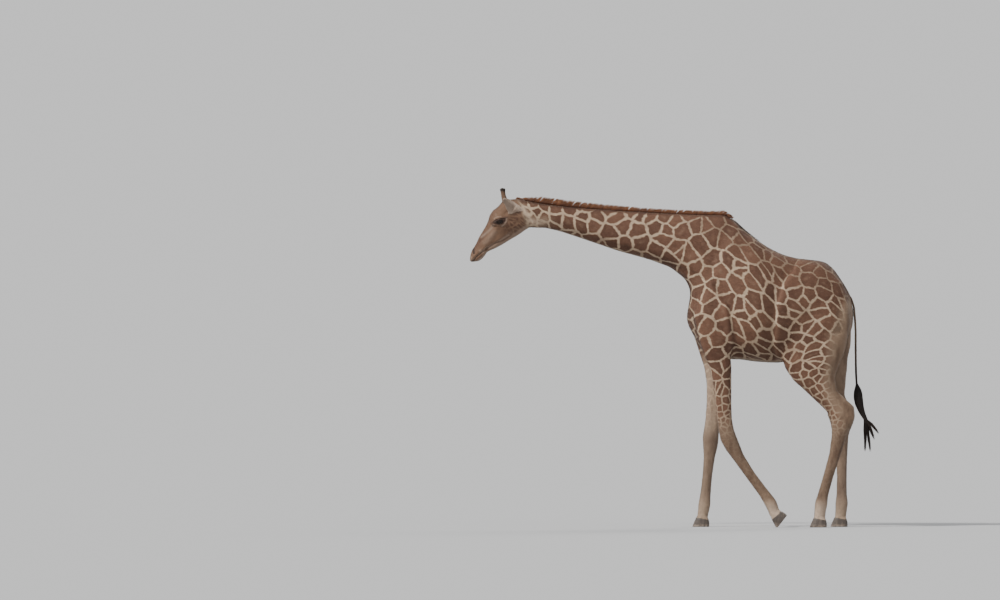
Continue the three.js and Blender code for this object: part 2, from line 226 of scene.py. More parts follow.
class Relaxer:
    """Averages a field over neighbouring vertices."""

    def __init__(self, mesh: Mesh) -> None:
        """Keeps the mesh's edges."""
        pairs = read(mesh.edges, "vertices", 2, np.int32)
        self.first = np.concatenate([pairs[:, 0], pairs[:, 1]])
        self.second = np.concatenate([pairs[:, 1], pairs[:, 0]])
        self.total = len(mesh.vertices)
        self.degree = np.maximum(np.bincount(self.first, minlength=self.total), 1)

    def mean(self, values: Array) -> Array:
        """The mean of each vertex's neighbours."""
        columns = [np.bincount(self.first, column[self.second], self.total) for column in values.T]
        return (np.array(columns) / self.degree).T

    def smooth(self, values: Array, passes: int, share: Array | float = 0.5) -> Array:
        """Moves values towards their neighbours' mean.

        Args:
            values: One row for each vertex.
            passes: How often.
            share: How far each time, for all vertices or for each.

        Returns:
            The smoothed values.
        """
        for _ in range(passes):
            values = values + share * (self.mean(values) - values)
        return values

    def laid_flat(
        self, points: Array, outward: Array, spots: Array, size: Array, rounds: int
    ) -> tuple[Array, Array, Array]:
        """Lets a rough map of the surface settle, so that patches are neither sheared nor stretched.

        Each vertex turns the edges round it to fit the map as well as they can, and then moves to where its
        neighbours want it. Edges that the rough map tears stay open.

        Args:
            points: The vertices.
            outward: Their normals.
            spots: The rough map.
            size: The length that one unit of the map stands for, at each vertex.
            rounds: How often all vertices move.

        Returns:
            The settled map, its units per metre, and how far each vertex lies at a tear.
        """
        reach = points[self.second] - points[self.first]
        length = np.linalg.norm(reach, axis=1)
        upright = np.abs(outward[:, :1]) < 0.8
        east = unit(np.cross(np.where(upright, (1.0, 0, 0), (0, 0, 1.0)), outward))
        north = np.cross(outward, east)
        edge = (reach * east[self.first]).sum(1) + 1j * (reach * north[self.first]).sum(1)
        cell = (size[self.first] + size[self.second]) / 2
        edge *= length / np.maximum(np.abs(edge), 1e-9) / cell
        back = np.roll(edge, len(edge) // 2)
        spot = spots[:, 0] + 1j * spots[:, 1]
        ratio = np.abs(spot[self.second] - spot[self.first]) * cell / length
        whole = (ratio < 9).astype(float)
        degree = np.bincount(self.first, whole, self.total)
        free = degree > 0
        for _ in range(rounds):
            gap = spot[self.second] - spot[self.first]
            turn = self.total_of(edge.conj() * gap * whole)
            turn /= np.maximum(np.abs(turn), 1e-12)
            wish = spot[self.second] - 0.5 * (turn[self.first] * edge - turn[self.second] * back)
            spot[free] = (self.total_of(wish * whole) / np.maximum(degree, 1))[free]
        gap = np.abs(spot[self.second] - spot[self.first]) / length
        density = np.bincount(self.first, gap * whole, self.total) / np.maximum(degree, 1)
        density = np.where(free, density, 1 / size)
        torn = ramp(0.0, 0.4, 1 - degree / self.degree)
        return np.column_stack([spot.real, spot.imag]), self.smooth(density[:, None], 3)[:, 0], torn

    def total_of(self, values: Array) -> Array:
        """The sum over the edges that leave each vertex."""
        parts = [np.bincount(self.first, part, self.total) for part in (values.real, values.imag)]
        return parts[0] + 1j * parts[1]


# ---- Shader arithmetic ----


def operator(operation: str, swapped: bool = False) -> Callable[[Wire, Wire | float], Wire]:
    """Makes the method behind an operator of Wire.

    Args:
        operation: The Math node's operation.
        swapped: Whether the other value comes first.

    Returns:
        The method.
    """

    def method(self: Wire, other: Wire | float) -> Wire:
        """Adds the Math node."""
        values = (other, self) if swapped else (self, other)
        return self.graph.node("ShaderNodeMath", {"operation": operation}, dict(enumerate(values)))

    return method


class Wire:
    """A shader socket in Python arithmetic. Each operator adds its own node."""

    __add__ = __radd__ = operator("ADD")
    __mul__ = __rmul__ = operator("MULTIPLY")
    __sub__, __rsub__ = operator("SUBTRACT"), operator("SUBTRACT", True)

    def __init__(self, graph: Graph, socket: bpy.types.NodeSocket) -> None:
        """Wraps a socket of the graph."""
        self.graph, self.socket = graph, socket

    def step(self, low: Wire | float, high: Wire | float) -> Wire:
        """Rises smoothly from 0 at low to 1 at high."""
        inputs = {"Value": self, "From Min": low, "From Max": high}
        return self.graph.node("ShaderNodeMapRange", {"interpolation_type": "SMOOTHSTEP"}, inputs)

    def part(self, letter: str) -> Wire:
        """The X, Y or Z of a vector."""
        return self.graph.node("ShaderNodeSeparateXYZ", {}, {0: self}, letter)

    def vector(self, operation: str, *values: Wire | Colour, output: str = "Vector") -> Wire:
        """This vector after a Vector Math operation with others."""
        inputs = dict(enumerate((self, *values)))
        return self.graph.node("ShaderNodeVectorMath", {"operation": operation}, inputs, output)

    def stretched(self, x: float, y: float, z: float) -> Wire:
        """This vector with its parts multiplied."""
        return self.vector("MULTIPLY", (x, y, z))


class Graph:
    """One material's nodes, with a Principled shader at their end."""

    def __init__(self, name: str) -> None:
        """Starts a material of this name."""
        self.material = bpy.data.materials.new(name)
        self.material.use_nodes = True
        self.tree = self.material.node_tree
        self.shader = self.tree.nodes["Principled BSDF"]

    def node(self, kind: str, settings: dict, inputs: dict, output: str | int = 0) -> Wire:
        """Adds a node.

        Args:
            kind: Its type.
            settings: Its properties. "stops" are a ramp's places and colours.
            inputs: Values or wires by their socket's name or number.
            output: The name or number of the output.

        Returns:
            That output.
        """
        made = self.tree.nodes.new(kind)
        for name, value in settings.items():
            if name == "stops":
                ramp = made.color_ramp.elements
                while len(ramp) < len(value):
                    ramp.new(0.5)
                for stop, (place, colour) in zip(ramp, value):
                    stop.position = place
                    stop.color = (*colour, 1)
            else:
                setattr(made, name, value)
        for name, value in inputs.items():
            self.plug(value, made.inputs[name])
        return Wire(self, made.outputs[output])

    def plug(self, value: object, socket: bpy.types.NodeSocket) -> None:
        """Links a wire to a socket, or sets a value on it."""
        if isinstance(value, Wire):
            self.tree.links.new(value.socket, socket)
        elif socket.type == "RGBA" and len(value) == 3:
            socket.default_value = (*value, 1)
        else:
            socket.default_value = value

    def attribute(self, name: str) -> Wire:
        """The vector that a mesh stores under this name."""
        return self.node("ShaderNodeAttribute", {"attribute_name": name}, {}, "Vector")

    def place(self) -> Wire:
        """The point in the animal's frame."""
        return self.node("ShaderNodeTexCoord", {}, {}, "Object")

    def noise(self, at: Wire, scale: float, detail: float = 2, output: str = "Fac") -> Wire:
        """Smooth noise, from 0 to 1, or as a colour."""
        inputs = {"Vector": at, "Scale": scale, "Detail": detail, "Roughness": 0.55}
        return self.node("ShaderNodeTexNoise", {}, inputs, output)

    def blend(self, share: Wire | float, low: object, high: object) -> Wire:
        """Mixes two colours, from the first at 0 to the second at 1."""
        made = self.tree.nodes.new("ShaderNodeMix")
        made.data_type = "RGBA"
        sockets = {s.identifier: s for s in made.inputs}
        self.plug(share, sockets["Factor_Float"])
        self.plug(low, sockets["A_Color"])
        self.plug(high, sockets["B_Color"])
        return Wire(self, next(s for s in made.outputs if s.identifier == "Result_Color"))

    def darken(self, colour: Wire, share: Wire) -> Wire:
        """Multiplies a colour by a number."""
        grey = self.node("ShaderNodeCombineXYZ", {}, {0: share, 1: share, 2: share})
        return colour.vector("MULTIPLY", grey)

    def feed(self, inputs: dict[str, object]) -> None:
        """Sets or links the shader's own sockets."""
        for name, value in inputs.items():
            self.plug(value, self.shader.inputs[name])

    def finish(self, colour: Wire, roughness: Wire | float, height: Wire | None, depth: float) -> Material:
        """Feeds the shader.

        Args:
            colour: The base colour.
            roughness: From 0, glossy, to 1.
            height: What the bump follows, if anything.
            depth: The bump's height in metres.

        Returns:
            The material.
        """
        self.feed({"Base Color": colour, "Roughness": roughness})
        if height is not None:
            inputs = {"Height": height, "Distance": depth, "Strength": 1.0}
            self.feed({"Normal": self.node("ShaderNodeBump", {}, inputs)})
        return self.material


# ---- Finishes ----


@dataclass(frozen=True)
class HideFinish:
    """The short coat: reddish-brown patches on a pale net, with a plain face, pale insides and tan shanks.

    It reads four vectors. "hide": the place on the hide and the net's half width, in patches. "tone": how
    strong the patches are, how much of the face's brown there is, and how pale it is, less so in the
    ears' hollows, where that is painted shade. "mark": how dark the skin is, from its own colour, bare
    skin and painted shade, how tan, and how much the coat lies down rather than back. "strand": how far
    along a hair, and its shade.
    """

    net: Colour = (0.38, 0.285, 0.2)
    net_dim: Colour = (0.25, 0.17, 0.112)
    patch: Colour = (0.118, 0.058, 0.036)
    patch_dark: Colour = (0.07, 0.033, 0.021)
    face: Colour = (0.13, 0.074, 0.046)
    face_spot: Colour = (0.062, 0.029, 0.019)
    pale: Colour = (0.47, 0.365, 0.29)
    tan: Colour = (0.175, 0.118, 0.079)
    tan_dark: Colour = (0.105, 0.066, 0.044)
    # near-black bare skin, and painted shade in the nostrils, the lip crease and the ears' hollows
    bare: Colour = (0.018, 0.01, 0.008)
    wander: float = 0.3
    fray: float = 0.07
    irregular: float = 0.96

    def cells(self, graph: Graph, hide: Wire) -> tuple[Wire, Wire]:
        """The distance to a patch's border, and a colour that differs from patch to patch."""
        flat = hide.stretched(1, 1, 0)
        wander = graph.noise(flat, 1.7, 2, "Color")
        wandered = wander.vector("MULTIPLY_ADD", (self.wander, self.wander, self.wander), flat)
        settings = {"voronoi_dimensions": "2D", "feature": "DISTANCE_TO_EDGE"}
        inputs = {"Vector": wandered, "Scale": 1.0, "Randomness": self.irregular}
        border = graph.node("ShaderNodeTexVoronoi", settings, inputs, "Distance")
        own = graph.node("ShaderNodeTexVoronoi", {"voronoi_dimensions": "2D"}, inputs, "Color")
        return border, own

    def material(self) -> Material:
        """Builds the material."""
        graph = Graph("hide")
        hide, tone = graph.attribute("hide"), graph.attribute("tone")
        mark, strand = graph.attribute("mark"), graph.attribute("strand")
        place = graph.place()
        border, own = self.cells(graph, hide)
        frayed = border + (graph.noise(hide, 7.0, 3) - 0.5) * self.fray * 2
        half_net = hide.part("Z") * (0.5 + graph.noise(hide, 1.1, 1))
        inside = frayed.step(half_net * 0.6, half_net * 1.4)

        mottle = graph.noise(place, 19, 4)
        deep = (own.part("X") * 0.6 + mottle * 0.8 - 0.25).step(0.0, 1.0)
        patch = graph.blend(deep, self.patch, self.patch_dark)
        heart = border.step(0.2, 0.44) * graph.noise(hide, 2.2, 3).step(0.45, 0.7)
        patch = graph.blend(heart * 0.22, patch, self.net_dim)
        face = tone.part("Y")
        patch = graph.blend(face, patch, self.face_spot)
        ground = graph.blend(graph.noise(place, 5, 3).step(0.45, 0.75) * 0.6, self.net, self.net_dim)
        ground = graph.blend(face, ground, self.face)
        tan = graph.noise(place.stretched(1, 1, 0.4), 11, 4)
        tan = graph.blend(tan.step(0.45, 0.68), self.tan, self.tan_dark)
        ground = graph.blend(mark.part("Y"), ground, tan)
        ground = graph.blend(graph.noise(place, 60, 3).step(0.35, 0.75) * 0.2, ground, self.tan_dark)
        coat = graph.blend(inside * tone.part("X"), ground, patch)
        coat = graph.blend(tone.part("Z") * (0.6 + graph.noise(place, 35, 3) * 0.8), coat, self.pale)
        # bare skin, and painted shade, wherever the mark's first part is set
        coat = graph.blend(mark.part("X"), coat, self.bare)

        back = graph.noise(place.stretched(0.22, 1, 1), 420, 2)
        down = graph.noise(place.stretched(1, 1, 0.22), 420, 2)
        nap = back + (down - back) * mark.part("Z")
        light = 0.84 + nap * 0.3 + (strand.part("Y") - 0.5) * 0.3 + strand.part("X") * 0.08
        coat = graph.darken(coat, light)
        graph.feed({"Sheen Weight": 0.07, "Sheen Roughness": 0.4, "Specular IOR Level": 0.22})
        rough = 0.76 - mark.part("X") * 0.26 - nap * 0.14
        return graph.finish(coat, rough, nap + mottle * 0.6, 0.0018)


@dataclass(frozen=True)
class HairFinish:
    """Coarse hair. It reads "strand": how far along a hair, its own shade and its clump's."""

    name: str
    root: Colour
    middle: Colour
    tip: Colour
    roughness: float = 0.5

    def material(self) -> Material:
        """Builds the material."""
        graph = Graph(self.name)
        strand = graph.attribute("strand")
        stops = [(0.0, self.root), (0.5, self.middle), (1.0, self.tip)]
        along = strand.part("X") + (strand.part("Z") - 0.5) * 0.4
        colour = graph.node("ShaderNodeValToRGB", {"stops": stops}, {"Fac": along}, "Color")
        streak = graph.noise(graph.place(), 300, 2)
        light = 0.62 + strand.part("Y") * 0.5 + streak * 0.25
        graph.feed({"Specular IOR Level": 0.35})
        return graph.finish(graph.darken(colour, light), self.roughness + streak * 0.1, streak, 0.0006)


@dataclass(frozen=True)
class HoofFinish:
    """Dark horn with fine growth rings, paler and dusty where it is worn along its lower edge."""

    horn: Colour = (0.045, 0.034, 0.028)
    pale: Colour = (0.12, 0.09, 0.07)
    dust: Colour = (0.27, 0.21, 0.165)

    def material(self) -> Material:
        """Builds the material. "strand" holds the height up the hoof."""
        graph = Graph("hoof_horn")
        place = graph.place()
        height = graph.attribute("strand").part("X")
        rings = graph.noise(height * 26 + graph.noise(place, 12, 2) * 2, 1, 2)
        streaks = graph.noise(place.stretched(1, 1, 0.2), 90, 3)
        colour = graph.blend(streaks.step(0.45, 0.75) * 0.7, self.horn, self.pale)
        colour = graph.blend(rings.step(0.5, 0.7) * 0.35, colour, self.pale)
        worn = height.step(0.35, 0.0) * graph.noise(place, 45, 3).step(0.3, 0.65)
        colour = graph.blend(worn * 0.8, colour, self.dust)
        return graph.finish(colour, 0.45 + streaks * 0.25, rings + streaks * 0.3, 0.0012)


@dataclass(frozen=True)
class EyeFinish:
    """A wet dark eye: a brown iris round a wide, flat pupil. "strand" is the place across its front."""

    pupil: Colour = (0.003, 0.003, 0.004)
    iris: Colour = (0.022, 0.01, 0.005)
    rim: Colour = (0.012, 0.008, 0.006)

    def material(self) -> Material:
        """Builds the material."""
        graph = Graph("eye")
        across = graph.attribute("strand")
        length = across.stretched(1, 1, 0).vector("LENGTH", output="Value")
        slot = across.stretched(0.9, 2.2, 0).vector("LENGTH", output="Value")
        streaks = graph.noise(across.stretched(6, 6, 1), 3, 3)
        colour = graph.blend(slot.step(0.42, 0.5), self.pupil, self.iris)
        colour = graph.blend(streaks.step(0.4, 0.8) * 0.5, colour, self.pupil)
        colour = graph.blend(length.step(0.66, 0.8), colour, self.rim)
        graph.feed({"Coat Weight": 0.8, "Coat Roughness": 0.03, "Coat IOR": 1.34, "Specular IOR Level": 0.05})
        return graph.finish(colour, 0.3 + streaks * 0.1, streaks, 0.0001)


@dataclass(frozen=True)
class FloorFinish:
    """A plain pale studio floor."""

    colour: Colour

    def material(self) -> Material:
        """Builds the material."""
        graph = Graph("floor")
        grain = graph.noise(graph.place(), 3, 3)
        lighter, darker = (tuple(value * share for value in self.colour) for share in (1.006, 0.994))
        graph.feed({"Specular IOR Level": 0.0})
        return graph.finish(graph.blend(grain, lighter, darker), 0.95, None, 0)


# ---- The solids as a guide ----


class Solids:
    """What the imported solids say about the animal's shape."""

    def __init__(self, nodes: dict[str, Piece]) -> None:
        """Reads every node's vertices, edges and triangles."""
        self.nodes = nodes
        self.points = {name: places(node.data) for name, node in nodes.items()}
        self.edges = {name: read(node.data.edges, "vertices", 2, np.int32) for name, node in nodes.items()}
        self.triangles = {
            name: read(node.data.loop_triangles, "vertices", 3, np.int32) for name, node in nodes.items()
        }

    def cut(self, names: list[str], axis: int, at: float) -> tuple[Array, Array] | None:
        """Cuts nodes with a plane square to an axis.

        Args:
            names: The nodes.
            axis: 0, 1 or 2 for X, Y or Z.
            at: Where on it.

        Returns:
            The cut's lowest and highest corners, or None where there is none.
        """
        found = []
        for name in names:
            start, end = (self.points[name][self.edges[name][:, i]] for i in (0, 1))
            crossing = (start[:, axis] - at) * (end[:, axis] - at) < 0
            start, end = start[crossing], end[crossing]
            share = (at - start[:, axis]) / (end[:, axis] - start[:, axis])
            found.append(start + share[:, None] * (end - start))
        points = np.vstack(found)
        return (points.min(0), points.max(0)) if len(points) else None

    def cuts(self, names: list[str], axis: int, levels: Array) -> list[tuple[float, Array, Array]]:
        """The levels where a plane cuts the nodes, each with the cut's lowest and highest corners."""
        found = [(level, self.cut(names, axis, level)) for level in levels]
        return [(level, *cut) for level, cut in found if cut]

    def spot(self, name: str, across: float, up: float) -> Array:
        """A point of the side view, X and Z, from shares of a node's box."""
        low, high = box(name)[:, [0, 2]]
        return low + (high - low) * (across, up)

    def line(self, name: str, path: Rows) -> Array:
        """A line of the side view, from shares of a node's box."""
        return np.array([self.spot(name, *spot) for spot in path])

    def facing(self, names: list[str], aim: Array) -> tuple[Array, Array]:
        """The middle and the direction of the nodes' faces that face one way."""
        total, middle = np.zeros(3), np.zeros(3)
        for name in names:
            first, second, third = (self.points[name][self.triangles[name][:, i]] for i in range(3))
            cross = np.cross(second - first, third - first)
            area = np.linalg.norm(cross, axis=1)
            chosen = (cross @ aim) > 0.8 * area
            total += cross[chosen].sum(0)
            middle += ((first + second + third)[chosen] / 3 * area[chosen, None]).sum(0)
        return middle / np.linalg.norm(total), unit(total)

    def merged(self, names: list[str], swell: float) -> Mesh:
        """Copies nodes into one mesh, each swollen a little so that neighbours run into each other.

        Args:
            names: The nodes.
            swell: How far each surface moves out.

        Returns:
            The mesh.
        """
        whole = bmesh.new()
        for name in names:
            one = bmesh.new()
            one.from_mesh(self.nodes[name].data)
            bmesh.ops.remove_doubles(one, verts=one.verts, dist=1e-5)
            one.normal_update()
            for vertex in one.verts:
                vertex.co += vertex.normal * swell
            piece = written(one, "piece")
            whole.from_mesh(piece)
            bpy.data.meshes.remove(piece)
        return written(whole, "merged")


@dataclass
class Head:
    """The head's own frame: along the face from poll to muzzle, and up square to it."""

    face_angle: float = math.radians(46.5)
    eye_along: float = 0.203
    eye_up: float = 0.05
    poll: Array = field(init=False)
    eye: Array = field(init=False)
    eye_radius: float = field(init=False)

    def __post_init__(self) -> None:
        """Places the frame by the left eye."""
        low, high = box("left_eye")
        self.eye = (low + high) / 2
        self.eye_radius = float(high[2] - low[2]) / 2
        self.poll = self.eye[[0, 2]] - self.along * self.eye_along - self.up * self.eye_up

    @property
    def along(self) -> Array:
        """The direction of the face, X and Z."""
        return np.array([-math.cos(self.face_angle), -math.sin(self.face_angle)])

    @property
    def up(self) -> Array:
        """The direction out of the forehead, X and Z."""
        return np.array([-math.sin(self.face_angle), math.cos(self.face_angle)])

    def read(self, points: Array) -> Array:
        """How far points lie along the face and up from it."""
        flat = points[:, [0, 2]] - self.poll
        return np.stack([flat @ self.along, flat @ self.up], 1)


@dataclass
class Ear:
    """One ear: a leaf with a long axis, a width and a hollow that opens outwards."""

    side: Side
    middle: Array
    axis: Array
    across: Array
    opening: Array
    half_length: float
    half_width: float

    @property
    def name(self) -> str:
        """The ear's solid."""
        return f"{self.side.word}_ear"

    @classmethod
    def measured(cls, solids: Solids, side: Side) -> Ear:
        """Fits the leaf to the ear's solid."""
        points = solids.points[f"{side.word}_ear"]
        middle = (points.min(0) + points.max(0)) / 2
        axis, across, thick = np.linalg.svd(points - points.mean(0), full_matrices=False)[2]
        axis = axis * np.sign(-axis[0])
        across = across * np.sign(across[2])
        thick = thick * np.sign(thick[1] * side.value)
        spread = (points - middle) @ np.column_stack([axis, across])
        low, high = spread.min(0), spread.max(0)
        middle = middle + axis * (low + high)[0] / 2 + across * (low + high)[1] / 2
        return cls(side, middle, axis, across, thick, *((high - low) / 2))

    def read(self, points: Array) -> tuple[Array, Array]:
        """How far points lie along the ear and across it, each from -1 to 1."""
        offset = points - self.middle
        return offset @ self.axis / self.half_length, offset @ self.across / self.half_width


@dataclass
class Leg:
    """One leg: its middle line, its girth, its coronet and the size of its patches."""

    side: Side
    end: str
    upper: str
    patch_rows: Rows
    join: tuple[float, float]
    top: float
    nodes: list[str] = field(init=False)
    claws: list[str] = field(init=False)
    rows: Array = field(init=False)
    coronet: Array = field(init=False)
    upward: Array = field(init=False)

    def measure(self, solids: Solids) -> None:
        """Cuts the leg's solids for its middle and half widths, and finds the coronet."""
        stem = f"{self.side.word}_{self.end}"
        self.nodes = [f"{stem}_{part}" for part in (self.upper, "shank", "pastern")]
        self.claws = [f"{stem}_claw_{which}" for which in ("outer", "inner")]
        heights = np.linspace(box(self.nodes[2])[0, 2] + 0.03, self.top, 40)
        cuts = solids.cuts(self.nodes, 2, heights)
        rows = np.array([(height, *((a + b) / 2)[:2], *((b - a) / 2)[:2]) for height, a, b in cuts])
        for _ in range(3):
            rows[1:-1, 1:] = (rows[:-2, 1:] + 2 * rows[1:-1, 1:] + rows[2:, 1:]) / 4
        below, above = rows[0] + (rows[0] - rows[3]) * 3, rows[-1] + (rows[-1] - rows[-6]) * 3
        below[2:], above[2:] = rows[0, 2:], rows[-1, 2:]
        self.rows = np.vstack([below, rows, above])
        aim = solids.points[self.nodes[2]].mean(0) - solids.points[self.claws[0]].mean(0)
        self.coronet, self.upward = solids.facing(self.claws, unit(aim * (1, 0, 1)))

    def at(self, height: Array) -> tuple[Array, ...]:
        """The middle's X and Y and the half widths at these heights."""
        return at_rows(self.rows, height, 1, 2, 3, 4)

    def holds(self, points: Array) -> Array:
        """Whether points are on this leg's side of the body and of the gap between fore and hind."""
        forward = points[:, 0] < np.where(points[:, 2] < 0.8, 1.02, 0.8)
        return (np.sign(points[:, 1]) == self.side.value) & (forward == (self.end == "fore"))

    def patch(self, height: Array) -> Array:
        """The size of a patch at these heights."""
        return np.interp(height, *zip(*self.patch_rows))

    def read(self, points: Array) -> tuple[Array, Array, Array]:
        """Where points lie along the leg's middle line.

        Args:
            points: Points on the skin.

        Returns:
            How many patches up from the foot, the angle round the leg, 0 on its outside, and its girth there.
        """
        line = self.rows[:, [1, 0]]
        steps = np.diff(line, axis=0)
        lengths = np.linalg.norm(steps, axis=1)
        counted = lengths / self.patch((self.rows[1:, 0] + self.rows[:-1, 0]) / 2)
        starts = np.concatenate([[0], np.cumsum(counted)])
        flat = points[:, [0, 2]]
        best = np.full(len(points), np.inf)
        row, behind = np.zeros(len(points)), np.zeros(len(points))
        for index, (start, step, length) in enumerate(zip(line, steps, lengths)):
            gap = flat - start
            share = np.clip(gap @ step / length**2, 0, 1)
            away = np.linalg.norm(gap - share[:, None] * step, axis=1)
            closer = away < best
            best[closer], row[closer] = away[closer], (index + share)[closer]
            behind[closer] = ((gap[:, 0] * step[1] - gap[:, 1] * step[0]) / length)[closer]
        order = np.arange(len(line))
        lean = np.interp(row, order[:-1] + 0.5, steps[:, 1] / lengths)
        middle_y, half_x, half_y = (np.interp(row, order, self.rows[:, i]) for i in (2, 3, 4))
        outward = (points[:, 1] - middle_y) * self.side.value
        angle = np.arctan2(behind / (half_x * lean), outward / half_y)
        return np.interp(row, order, starts), angle, np.sqrt(half_x * lean * half_y)


# ---- The hide: where each point lies on it ----


@dataclass
class HideMap:
    """Lays the hide out flat, counted in patches, which are smaller on the legs and the head."""

    solids: Solids
    head: Head
    legs: list[Leg]
    patch_rows: Rows = (
        (-1.34, 0.062), (-1.2, 0.084), (-1.0, 0.105), (-0.7, 0.122), (-0.3, 0.128), (0.1, 0.128),
        (0.45, 0.122), (0.75, 0.112), (0.9, 0.122), (1.1, 0.112), (1.3, 0.102), (1.56, 0.085),
    )
    spine: Array = field(init=False)

    trunk_nodes = [*NECK, *TRUNK]

    def __post_init__(self) -> None:
        """Cuts neck and trunk for their back line, depth and half width."""
        levels = np.linspace(box("neck_upper")[0, 0] + 0.02, box("hindquarters")[1, 0] - 0.01, 90)
        cuts = self.solids.cuts(self.trunk_nodes, 0, levels)
        self.spine = np.array([(x, b[2], a[2], b[1]) for x, a, b in cuts])

    def patch(self, x: Array) -> Array:
        """The size of a patch along the trunk and neck."""
        return np.interp(x, *zip(*self.patch_rows))

    def along(self, x: Array) -> Array:
        """How many patches lie between the origin and x."""
        grid = np.linspace(-2, 2, 801)
        count = np.concatenate([[0], np.cumsum((grid[1] - grid[0]) / self.patch((grid[1:] + grid[:-1]) / 2))])
        return np.interp(x, grid, count)

    def trunk(self, points: Array) -> tuple[Array, Array]:
        """Places on the neck and trunk, and the size of a patch at each."""
        x, side, z = points.T
        top, bottom, half = at_rows(self.spine, x, 1, 2, 3)
        deep = np.minimum((top - bottom) / 2, 0.5)
        turn = np.arccos(np.clip(1 - (top - z) / deep, 0, 1))
        angles = turn[:, None] * ((np.arange(8) + 0.5) / 8)
        speed = np.sqrt((half[:, None] * np.cos(angles)) ** 2 + (deep[:, None] * np.sin(angles)) ** 2)
        arc = speed.mean(1) * turn
        under = np.maximum(top - deep - z, 0)
        inward = np.maximum(half * 0.8 - np.abs(side), 0) * ramp(0.2, 0.9, under / deep)
        size = self.patch(x)
        down = (arc + under + inward) / size
        sway = 0.02 * np.sin(21 * z + 9 * x) * ramp(0.3, 0.8, under / deep)
        return np.stack([self.along(x), down * np.sign(side + sway)], 1), size

    def leg(self, leg: Leg, points: Array) -> tuple[Array, Array, Array]:
        """Places on a leg.

        Args:
            leg: The leg.
            points: Points on the skin.

        Returns:
            The places, the size of a patch at each, and the angle round the leg.
        """
        joint = sum(leg.join) / 2
        middle_x, middle_y, _, half_y = (float(value) for value in leg.at(joint))
        start = np.array([[middle_x, middle_y + leg.side.value * half_y, joint]])
        origin, _ = self.trunk(start)
        height, _, _ = leg.read(start)
        count, angle, girth = leg.read(points)
        size = leg.patch(points[:, 2])
        across = origin[0, 0] + girth * angle / size
        down = origin[0, 1] + leg.side.value * (height[0] - count)
        return np.stack([across, down], 1), size, angle

    def face(self, points: Array) -> tuple[Array, Array]:
        """Places on the head, and the size of a patch at each."""
        along, up = self.head.read(points).T
        size = np.interp(along, (0.0, 0.12, 0.3), (0.062, 0.046, 0.046))
        across = self.along(np.array([self.spine[0, 0]]))[0] - along / size
        down = (0.16 - up) / size * np.sign(points[:, 1])
        return np.stack([across, down], 1), size


# ---- The skin ----


@dataclass(frozen=True)
class Swell:
    """A muscle, bone or fold that raises or sinks the skin near a line of the side view.

    The line is in shares of a node's box, or in the head's frame. "left" is its width on the line's left,
    which is the rear where it runs down.
    """

    path: Rows
    width: float
    height: float
    left: float = 0.0


